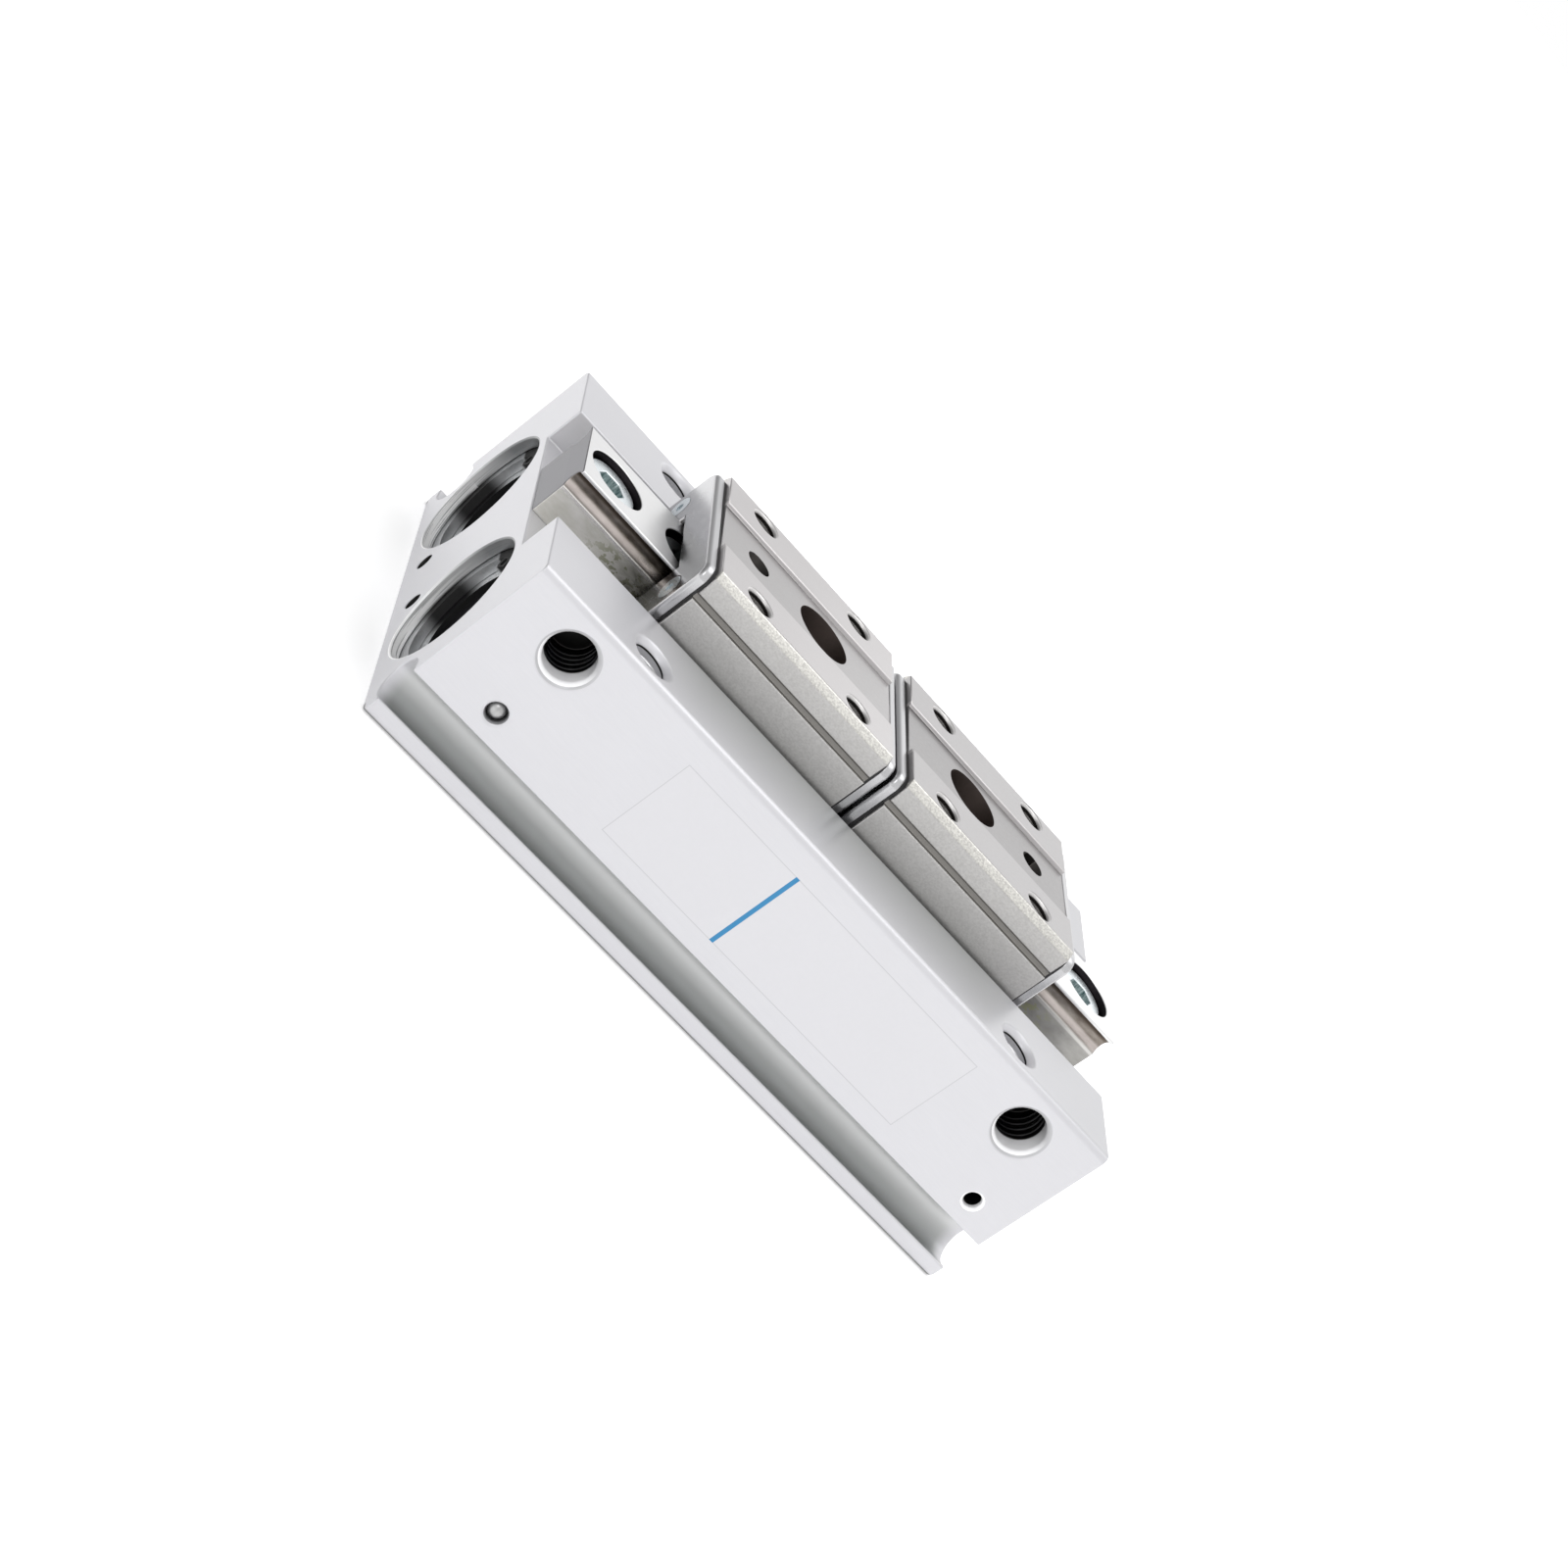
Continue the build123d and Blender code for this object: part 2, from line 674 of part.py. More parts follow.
# Open snap rings with a drilled ear on each side of the gap
def make_clips(side):
    outer = clip_outer_diameter / 2 - clip_play
    inner = outer - clip_radial_width
    half_gap = clip_gap_angle / 2
    ear_turn = half_gap + math.degrees(clip_ear_width / 2 / inner)
    gap_edges = [math.radians(clip_gap_direction + turn * half_gap) for turn in (-1, 1)]
    with BuildPart() as clips:
        with BuildSketch(Plane.YZ.offset(side * (cap_face + clip_play))):
            with Locations(*bore_centres):
                Circle(outer)
                Circle(inner, mode=Mode.SUBTRACT)
            for y, z in bore_centres:
                corners = [(y + 2 * outer * math.cos(a), z + 2 * outer * math.sin(a)) for a in gap_edges]
                with BuildLine():
                    Polyline((y, z), *corners, close=True)
                make_face(mode=Mode.SUBTRACT)
            with Locations(*bore_centres):
                with PolarLocations(inner, 2, clip_gap_direction - ear_turn, 2 * ear_turn, endpoint=True):
                    Rectangle(2 * clip_ear_length, clip_ear_width)
                with PolarLocations(
                    inner - clip_ear_length / 2, 2, clip_gap_direction - ear_turn, 2 * ear_turn, endpoint=True
                ):
                    Circle(clip_ear_hole / 2, mode=Mode.SUBTRACT)
        extrude(amount=side * clip_width)
    return clips.part


def involute_angle(radius, base_radius):
    flank = math.acos(min(1.0, base_radius / radius))
    return math.tan(flank) - flank


# Spur gear with involute flanks, a hub up to the rail and a bore for its pin
def make_pinion():
    base_radius = pitch_radius * math.cos(math.radians(pressure_angle))
    half_tooth = (rack_pitch / 2 - tooth_backlash) / 2 / pitch_radius
    pitch_flank = involute_angle(pitch_radius, base_radius)
    flank = []
    for step in range(flank_steps + 1):
        radius = base_radius + step * (pinion_outer_radius - base_radius) / flank_steps
        angle = half_tooth + pitch_flank - involute_angle(radius, base_radius)
        flank.append((radius * math.cos(angle), radius * math.sin(angle)))
    mirrored = [(x, -y) for x, y in flank]
    with BuildSketch() as tooth:
        with BuildLine():
            Polyline((0, 0), *mirrored, *reversed(flank), close=True)
        make_face()
    with BuildPart() as pinion:
        with BuildSketch(Plane.XY.offset(pinion_floor + pinion_end_play)):
            Circle(pinion_root_radius)
            with PolarLocations(0, pinion_teeth):
                add(tooth.sketch)
        extrude(amount=pinion_thickness)
        with BuildSketch(Plane.XY.offset(pinion_floor + pinion_end_play)):
            Circle(pinion_hub_diameter / 2)
        extrude(amount=channel_floor - pinion_floor - 2 * pinion_end_play)
        with BuildSketch(Plane.XY.offset(pinion_floor)):
            Circle(pin_diameter / 2 + pin_fit)
        extrude(amount=channel_floor - pinion_floor, mode=Mode.SUBTRACT)
    return pinion.part


def make_pinion_pin():
    with BuildPart() as pin:
        with BuildSketch(Plane.XY.offset(pin_bottom)):
            Circle(pin_diameter / 2)
        extrude(amount=pin_top - pin_bottom)
    return pin.part


def make_passage_ball():
    with BuildPart() as ball:
        with Locations((plug_x, -body_width / 2 + plug_sink + plug_diameter / 2, bore_axis_height)):
            Sphere(plug_diameter / 2)
    return ball.part


parts = {
    "body": make_body(),
    "label": make_label(),
    "guide_rail": make_guide_rail(),
    "rail_screws": make_rail_screws(),
    "pinion": make_pinion(),
    "pinion_pin": make_pinion_pin(),
    "passage_ball": make_passage_ball(),
    "cap_rings": make_cap_rings(),
}
for name, side in sides.items():
    parts[f"caps_{name}"] = make_caps(side)
    parts[f"clips_{name}"] = make_clips(side)
    parts[f"finger_block_{name}"] = make_finger_block(side)
    parts[f"guide_balls_{name}"] = make_guide_balls(side)
    parts[f"plate_screws_{name}"] = make_plate_screws(side)
    parts[f"piston_{name}"] = make_piston(side)
    parts[f"piston_seals_{name}"] = make_piston_seals(side)
    parts[f"magnet_{name}"] = make_magnet(side)
    parts[f"arm_{name}"] = make_arm(side)
    for place, end in (("inner", -side), ("outer", side)):
        parts[f"end_plate_{name}_{place}"] = make_end_plate(side, end)
        parts[f"end_seal_{name}_{place}"] = make_end_seal(side, end)

os.makedirs("parts", exist_ok=True)
for name, part in parts.items():
    part.label = name
    export_step(part, f"parts/{name}.step")
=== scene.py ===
import json
import math

import bmesh
import bpy
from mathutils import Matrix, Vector


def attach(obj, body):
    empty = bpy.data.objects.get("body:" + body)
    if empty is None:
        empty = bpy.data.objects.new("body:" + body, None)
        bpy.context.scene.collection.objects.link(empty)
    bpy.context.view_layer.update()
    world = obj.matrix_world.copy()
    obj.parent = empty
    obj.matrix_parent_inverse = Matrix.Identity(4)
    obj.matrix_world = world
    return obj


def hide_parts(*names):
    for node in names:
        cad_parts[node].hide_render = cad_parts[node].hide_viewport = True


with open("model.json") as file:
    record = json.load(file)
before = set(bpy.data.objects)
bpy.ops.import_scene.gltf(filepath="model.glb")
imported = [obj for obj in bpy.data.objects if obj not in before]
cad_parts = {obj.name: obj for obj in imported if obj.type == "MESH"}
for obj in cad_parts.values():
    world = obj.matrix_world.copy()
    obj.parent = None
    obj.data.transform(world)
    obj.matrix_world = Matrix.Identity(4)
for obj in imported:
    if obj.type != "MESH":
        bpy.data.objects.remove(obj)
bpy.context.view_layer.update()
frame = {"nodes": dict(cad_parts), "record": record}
mm = 0.001
print("frame loaded:", len(frame["nodes"]), "nodes")

camera = {
    "place": (-93.335, -229.936, 97.458),  # mm
    "turn": (59.923, -50.081, 2.114),  # degrees
    "lens": 72.47,
    "sensor": 36.0,
    "clip": (0.01, 60),  # metres
}
floor = {"size": 30.0, "colour": (0.95, 0.95, 0.95), "roughness": 0.95, "glow": 0.30}
lampAim = (0, 0, 12)  # mm
lamps = [
    # name, place in mm, width in mm, watts
    ("keySoftbox", (-300, -420, 420), 300, 0.45),
    ("topSoftbox", (120, 60, 560), 340, 0.6),
    ("rimSoftbox", (260, 380, 260), 260, 0.1),
]
sky = {"strength": 1.0, "dark": 0.30, "darkSide": (-0.85, 0.50, 0.15), "darkFrom": 0.35, "darkFull": 0.95}


def linkObject(name, data):
    obj = bpy.data.objects.new(name, data)
    bpy.context.scene.collection.objects.link(obj)
    return obj


def buildCamera():
    data = bpy.data.cameras.new("photoCamera")
    data.sensor_fit = "HORIZONTAL"
    data.sensor_width = camera["sensor"]
    data.lens = camera["lens"]
    data.clip_start, data.clip_end = camera["clip"]
    obj = linkObject("photoCamera", data)
    obj.location = [v * mm for v in camera["place"]]
    obj.rotation_euler = [math.radians(a) for a in camera["turn"]]
    bpy.context.scene.camera = obj


def buildLamps():
    for name, place, width, watts in lamps:
        data = bpy.data.lights.new(name, "AREA")
        data.shape = "SQUARE"
        data.size = width * mm
        data.energy = watts
        obj = linkObject(name, data)
        obj.location = [v * mm for v in place]
        obj.rotation_euler = (Vector(lampAim) - Vector(place)).to_track_quat("-Z", "Y").to_euler()


def buildSky():
    # white all round, with a grey side behind the object's left end for the metal to mirror
    world = bpy.data.worlds.new("studioSky")
    world.use_nodes = True
    tree = world.node_tree
    background = tree.nodes["Background"]
    place = tree.nodes.new("ShaderNodeTexCoord").outputs["Generated"]
    side = tree.nodes.new("ShaderNodeVectorMath")
    side.operation = "DOT_PRODUCT"
    side.inputs[1].default_value = sky["darkSide"]
    ramp = tree.nodes.new("ShaderNodeMapRange")
    ramp.interpolation_type = "SMOOTHSTEP"
    ramp.inputs["From Min"].default_value = sky["darkFrom"]
    ramp.inputs["From Max"].default_value = sky["darkFull"]
    ramp.inputs["To Min"].default_value = 1.0
    ramp.inputs["To Max"].default_value = sky["dark"]
    tree.links.new(place, side.inputs[0])
    tree.links.new(side.outputs["Value"], ramp.inputs["Value"])
    tree.links.new(ramp.outputs["Result"], background.inputs["Color"])
    background.inputs["Strength"].default_value = sky["strength"]
    bpy.context.scene.world = world


def buildFloor():
    half = floor["size"] / 2  # metres
    corners = [(-half, -half, 0), (half, -half, 0), (half, half, 0), (-half, half, 0)]
    mesh = bpy.data.meshes.new("studioFloor")
    mesh.from_pydata(corners, [], [(0, 1, 2, 3)])
    material = bpy.data.materials.new("paleFloor")
    material.use_nodes = True
    shader = material.node_tree.nodes["Principled BSDF"]
    shader.inputs["Base Color"].default_value = (*floor["colour"], 1)
    shader.inputs["Roughness"].default_value = floor["roughness"]
    shader.inputs["Emission Color"].default_value = (1, 1, 1, 1)
    shader.inputs["Emission Strength"].default_value = floor["glow"]
    mesh.materials.append(material)
    linkObject("studioFloor", mesh)


buildCamera()
buildFloor()
buildLamps()
buildSky()
print("camera, floor and lights are in place")


# small helpers for shader trees

def addNode(tree, kind, **settings):
    made = tree.nodes.new(kind)
    for key, value in settings.items():
        setattr(made, key, value)
    return made


def feed(tree, socket, value):
    if isinstance(value, (int, float)):
        socket.default_value = value
    elif isinstance(value, tuple):
        socket.default_value = (*value, 1) if socket.type == "RGBA" and len(value) == 3 else value
    else:
        tree.links.new(value, socket)


def calc(tree, operation, first, second=0.0):
    made = addNode(tree, "ShaderNodeMath", operation=operation)
    feed(tree, made.inputs[0], first)
    feed(tree, made.inputs[1], second)
    return made.outputs[0]


def mixColour(tree, amount, first, second):
    made = addNode(tree, "ShaderNodeMix", data_type="RGBA")
    for place, value in ((0, amount), (6, first), (7, second)):
        feed(tree, made.inputs[place], value)
    return made.outputs[2]


def mixValue(tree, amount, first, second):
    made = addNode(tree, "ShaderNodeMix", data_type="FLOAT")
    for place, value in ((0, amount), (2, first), (3, second)):
        feed(tree, made.inputs[place], value)
    return made.outputs[0]


def newGroup(name, inputs, outputs):
    tree = bpy.data.node_groups.new(name, "ShaderNodeTree")
    for label, kind, value in inputs:
        socket = tree.interface.new_socket(name=label, in_out="INPUT", socket_type="NodeSocket" + kind)
        if value is not None:
            socket.default_value = value
    for label in outputs:
        tree.interface.new_socket(name=label, in_out="OUTPUT", socket_type="NodeSocketFloat")
    return tree, addNode(tree, "NodeGroupInput"), addNode(tree, "NodeGroupOutput")


def useGroup(tree, group, **values):
    made = addNode(tree, "ShaderNodeGroup", node_tree=group)
    for label, value in values.items():
        feed(tree, made.inputs[label], value)
    return made.outputs


grainShape = {
    "roughness": 0.62, "low": 0.3, "high": 0.7,
    # the two patterns that every finish has besides its own lines
    "fine": (4200.0, 4200.0, 4200.0), "fineShare": 0.5, "cloud": (70.0, 110.0, 110.0), "cloudShare": 0.45,
    "bumpDepth": 0.04,  # mm
}


def buildMachinedGrain():
    # noise stretched along the way a surface was ground, drawn or blasted
    tree, given, out = newGroup(
        "machinedGrain",
        [("Place", "Vector", None), ("Stretch", "Vector", (5000.0, 5000.0, 5000.0)), ("Detail", "Float", 3.0)],
        ["Value", "Raw"],
    )
    scaled = addNode(tree, "ShaderNodeVectorMath", operation="MULTIPLY")
    noise = addNode(tree, "ShaderNodeTexNoise")
    noise.inputs["Scale"].default_value = 1
    noise.inputs["Roughness"].default_value = grainShape["roughness"]
    ramp = addNode(tree, "ShaderNodeMapRange")
    ramp.inputs["From Min"].default_value = grainShape["low"]
    ramp.inputs["From Max"].default_value = grainShape["high"]
    tree.links.new(given.outputs["Place"], scaled.inputs[0])
    tree.links.new(given.outputs["Stretch"], scaled.inputs[1])
    tree.links.new(scaled.outputs[0], noise.inputs["Vector"])
    tree.links.new(given.outputs["Detail"], noise.inputs["Detail"])
    tree.links.new(noise.outputs["Fac"], ramp.inputs["Value"])
    tree.links.new(ramp.outputs["Result"], out.inputs["Value"])
    tree.links.new(noise.outputs["Fac"], out.inputs["Raw"])
    return tree


def buildRoundMask():
    # 1 within a radius of an axis; A and B are the two coordinates square to the axis
    tree, given, out = newGroup(
        "roundMask",
        [("A", "Float", 0.0), ("B", "Float", 0.0), ("CentreA", "Float", 0.0), ("CentreB", "Float", 0.0),
         ("Radius", "Float", 0.001)],
        ["Mask", "Distance"],
    )
    a = calc(tree, "SUBTRACT", given.outputs["A"], given.outputs["CentreA"])
    b = calc(tree, "SUBTRACT", given.outputs["B"], given.outputs["CentreB"])
    distance = calc(tree, "SQRT", calc(tree, "ADD", calc(tree, "MULTIPLY", a, a), calc(tree, "MULTIPLY", b, b)))
    tree.links.new(calc(tree, "LESS_THAN", distance, given.outputs["Radius"]), out.inputs["Mask"])
    tree.links.new(distance, out.inputs["Distance"])
    return tree


def buildBandMask():
    # 1 between two values of one coordinate, with soft edges
    tree, given, out = newGroup(
        "bandMask",
        [("Value", "Float", 0.0), ("Low", "Float", 0.0), ("High", "Float", 0.001), ("Soft", "Float", 0.0001)],
        ["Mask"],
    )
    ends = []
    for edge, before, after in (("Low", 0.0, 1.0), ("High", 1.0, 0.0)):
        ramp = addNode(tree, "ShaderNodeMapRange", interpolation_type="SMOOTHSTEP")
        low = calc(tree, "SUBTRACT", given.outputs[edge], given.outputs["Soft"])
        high = calc(tree, "ADD", given.outputs[edge], given.outputs["Soft"])
        tree.links.new(given.outputs["Value"], ramp.inputs["Value"])
        tree.links.new(low, ramp.inputs["From Min"])
        tree.links.new(high, ramp.inputs["From Max"])
        ramp.inputs["To Min"].default_value = before
        ramp.inputs["To Max"].default_value = after
        ends.append(ramp.outputs["Result"])
    tree.links.new(calc(tree, "MULTIPLY", *ends), out.inputs["Mask"])
    return tree


machinedGrain = buildMachinedGrain()
roundMask = buildRoundMask()
bandMask = buildBandMask()

finishes = {
    # light and dark of the colour, metallic, range of roughness, stretch of the lines, strength of the bump
    "anodised": {"light": (0.632, 0.630, 0.654), "dark": (0.606, 0.604, 0.628), "metallic": 0.38,
                 "rough": (0.32, 0.40), "stretch": (600.0, 7000.0, 7000.0), "bump": 0.02},
    "railSteel": {"light": (0.84, 0.84, 0.845), "dark": (0.73, 0.73, 0.73), "metallic": 1.0,
                  "rough": (0.28, 0.42), "stretch": (240.0, 12000.0, 12000.0), "bump": 0.10},
    "blockSteel": {"light": (0.57, 0.553, 0.555), "dark": (0.51, 0.494, 0.495), "metallic": 1.0,
                   "rough": (0.28, 0.40), "stretch": (300.0, 12000.0, 12000.0), "bump": 0.08},
    "plateSteel": {"light": (0.58, 0.58, 0.59), "dark": (0.48, 0.48, 0.49), "metallic": 1.0,
                   "rough": (0.18, 0.30), "stretch": (3000.0, 900.0, 900.0), "bump": 0.08},
    "screwZinc": {"light": (0.90, 0.95, 0.97), "dark": (0.76, 0.82, 0.85), "metallic": 0.85,
                  "rough": (0.24, 0.36), "stretch": (4000.0, 4000.0, 4000.0), "bump": 0.08},
    "gearSteel": {"light": (0.50, 0.50, 0.50), "dark": (0.36, 0.36, 0.36), "metallic": 1.0,
                  "rough": (0.25, 0.42), "stretch": (4000.0, 4000.0, 600.0), "bump": 0.08},
    "ballSteel": {"light": (0.70, 0.70, 0.70), "dark": (0.64, 0.64, 0.64), "metallic": 1.0,
                  "rough": (0.06, 0.12), "stretch": (3000.0, 3000.0, 3000.0), "bump": 0.01},
    "clipSteel": {"light": (0.62, 0.63, 0.64), "dark": (0.48, 0.49, 0.50), "metallic": 0.8,
                  "rough": (0.26, 0.42), "stretch": (5000.0, 5000.0, 5000.0), "bump": 0.06},
    "capAluminium": {"light": (0.74, 0.75, 0.76), "dark": (0.56, 0.57, 0.58), "metallic": 0.7,
                     "rough": (0.22, 0.36), "stretch": (5000.0, 5000.0, 5000.0), "bump": 0.03},
    "pistonAluminium": {"light": (0.72, 0.73, 0.74), "dark": (0.62, 0.63, 0.64), "metallic": 1.0,
                        "rough": (0.20, 0.36), "stretch": (9000.0, 700.0, 700.0), "bump": 0.06},
    "sealRubber": {"light": (0.022, 0.022, 0.023), "dark": (0.012, 0.012, 0.012), "metallic": 0.0,
                   "rough": (0.45, 0.62), "stretch": (6000.0, 6000.0, 6000.0), "bump": 0.12},
    "magnet": {"light": (0.16, 0.16, 0.17), "dark": (0.10, 0.10, 0.105), "metallic": 0.6,
               "rough": (0.36, 0.52), "stretch": (5000.0, 5000.0, 5000.0), "bump": 0.08},
}


class Finish:
    # one material while it is put together: paint changes it where a mask is 1, and close ends it; lengths are in mm
    def __init__(self, name, values):
        self.material = bpy.data.materials.new(name)
        self.material.use_nodes = True
        self.tree = self.material.node_tree
        self.shader = self.tree.nodes["Principled BSDF"]
        self.place = addNode(self.tree, "ShaderNodeTexCoord").outputs["Object"]
        split = addNode(self.tree, "ShaderNodeSeparateXYZ")
        self.tree.links.new(self.place, split.inputs[0])
        self.x, self.y, self.z = split.outputs
        self.values = values
        tree = self.tree
        lines = self.grain(values["stretch"])
        fine = self.grain(grainShape["fine"])
        cloud = self.grain(grainShape["cloud"])
        shade = mixValue(tree, grainShape["cloudShare"], lines["Value"], cloud["Value"])
        self.colour = mixColour(tree, shade, values["dark"], values["light"])
        share = grainShape["fineShare"]
        self.rough = mixValue(tree, mixValue(tree, share, lines["Value"], fine["Value"]), *values["rough"])
        self.height = mixValue(tree, share, lines["Raw"], fine["Raw"])
        self.metallic = values["metallic"]

    def grain(self, stretch, detail=3.0):
        return useGroup(self.tree, machinedGrain, Place=self.place, Stretch=stretch, Detail=detail)

    def near(self, a, b, centre, radius):
        # 1 within a radius of a centre
        centreA, centreB = (v * mm for v in centre)
        mask = useGroup(self.tree, roundMask, A=a, B=b, CentreA=centreA, CentreB=centreB, Radius=radius * mm)
        return mask["Mask"]

    def band(self, value, low, high, soft=0.03):
        mask = useGroup(self.tree, bandMask, Value=value, Low=low * mm, High=high * mm, Soft=soft * mm)
        return mask["Mask"]

    def both(self, first, second):
        return calc(self.tree, "MULTIPLY", first, second)

    def either(self, *masks):
        total = masks[0]
        for mask in masks[1:]:
            total = calc(self.tree, "MAXIMUM", total, mask)
        return total

    def fall(self, value, low, high, smooth=False):
        # 0 at low, 1 at high
        ramp = addNode(self.tree, "ShaderNodeMapRange", interpolation_type="SMOOTHSTEP" if smooth else "LINEAR")
        ramp.inputs["From Min"].default_value = low * mm
        ramp.inputs["From Max"].default_value = high * mm
        feed(self.tree, ramp.inputs["Value"], value)
        return ramp.outputs["Result"]

    def without(self, mask):
        return calc(self.tree, "SUBTRACT", 1.0, mask)

    def boreShade(self):
        # painted shade: a soft dark spot low in each bore mouth
        masks = []
        for row in (-1, 1):
            centreA = (row * body["boreY"] + body["shadeY"]) * mm
            centreB = (body["boreZ"] + body["shadeZ"]) * mm
            spot = useGroup(self.tree, roundMask, A=self.y, B=self.z, CentreA=centreA, CentreB=centreB)
            fade = self.fall(spot["Distance"], body["shadeCore"], body["shadeRadius"], smooth=True)
            masks.append(self.without(fade))
        return self.either(*masks)

    def size(self, value):
        # distance from a middle plane
        return calc(self.tree, "ABSOLUTE", value)

    def paint(self, mask, colour, rough=None, metallic=None):
        self.colour = mixColour(self.tree, mask, self.colour, colour)
        if rough is not None:
            self.rough = mixValue(self.tree, mask, self.rough, rough)
        if metallic is not None:
            self.metallic = mixValue(self.tree, mask, self.metallic, metallic)

    def close(self):
        bump = addNode(self.tree, "ShaderNodeBump")
        bump.inputs["Strength"].default_value = self.values["bump"]
        bump.inputs["Distance"].default_value = grainShape["bumpDepth"] * mm
        feed(self.tree, bump.inputs["Height"], self.height)
        self.tree.links.new(bump.outputs["Normal"], self.shader.inputs["Normal"])
        feed(self.tree, self.shader.inputs["Base Color"], self.colour)
        feed(self.tree, self.shader.inputs["Roughness"], self.rough)
        feed(self.tree, self.shader.inputs["Metallic"], self.metallic)
        return self.material


# body: satin anodised, with turned bores, painted light and shade in the bores, painted highlights on the hole chamfers
# and painted shade inside the holes

noEdge = -10.0  # mm: a band that starts here on a distance from a middle plane has no lower edge

body = {
    # bores, in mm, with the spread of the painted light and shade on the turned walls and of the painted shade spot in
    # each mouth
    "boreY": 10.25, "boreZ": 7.7, "boreRadius": 6.62, "mouthFrom": 20.0, "mouthTo": 33.0,
    "turnedRise": (-4.5, 2.5), "shadeY": 4.6, "shadeZ": -2.4, "shadeCore": 1.4, "shadeRadius": 3.7,
    "ringPitch": 0.16, "ringLength": 60.0, "ringHeight": 0.45, "streakFrom": 0.62, "streakShare": (0.8, 0.2),
    "boreLitLow": (1.0, 1.0, 1.0), "boreShadedHigh": (0.20, 0.205, 0.21), "turnedDark": (0.34, 0.345, 0.35),
    # top and flanges: painted shade on the right-hand top and on the flanges beside the carriages
    "topLow": 18.7, "topHigh": 19.0, "rightFrom": 5.0, "rightFull": 30.0, "rightTopShade": (0.53, 0.53, 0.548),
    "flangeInner": 10.4, "flangeOuter": 19.6, "flangeEnd": 20.0, "flangeSoft": 4.0,
    "flangeShade": (0.43, 0.44, 0.438),
    # painted shade: the dark line where the sides stand on the floor
    "footIn": 18.9, "footOut": 20.5, "footLow": -0.2, "footHigh": 0.3, "footShadeLine": (0.17, 0.17, 0.175),
    # sensor grooves, with their painted shade and the painted highlight under the upper edge
    "grooveZ": 3.5, "grooveHalf": 2.1, "grooveIn": 15.0, "grooveOut": 19.72, "grooveEnd": 33.2, "grooveEndSoft": 0.7,
    "grooveLight": (0.84, 0.845, 0.845), "grooveDark": (0.25, 0.26, 0.258),
    "eaveLow": 4.4, "eaveHigh": 5.6, "grooveEaveHighlight": (0.98, 0.98, 0.98),
    # holes: the front ones are looked for between frontOut and frontIn
    "frontOut": -20.5, "frontIn": -13.0,
    "portX": 27.3, "portZ": 14.95, "portRadius": 2.54, "portRim": 2.36, "portMouth": -17.9, "portRise": (-1.2, 1.4),
    "sideHoleX": 30.2, "sideHoleRadius": 1.02, "sideHoleMouth": -19.3,
    "plugX": -27.4, "plugRadius": 0.98, "plugRing": -19.86, "plugColour": (0.50, 0.50, 0.505),
    "topHoleX": 22.35, "topHoleY": 16.7, "topHoleRadius": 1.72, "topHoleMouth": 18.22, "topHoleBand": 0.16,
    "endHoleY": 3.8, "endHoleZ": 2.45, "endHoleRadius": 0.82, "endHoleFrom": 29.0, "endHoleTo": 34.5,
    # painted highlights on the hole chamfers and painted shade inside the holes
    "chamferHighlight": (0.97, 0.97, 0.98), "chamferShade": (0.46, 0.46, 0.47), "rimDull": (0.50, 0.50, 0.515),
    "plugRingShade": (0.30, 0.30, 0.31), "paintedHoleShade": (0.030, 0.029, 0.028),
}


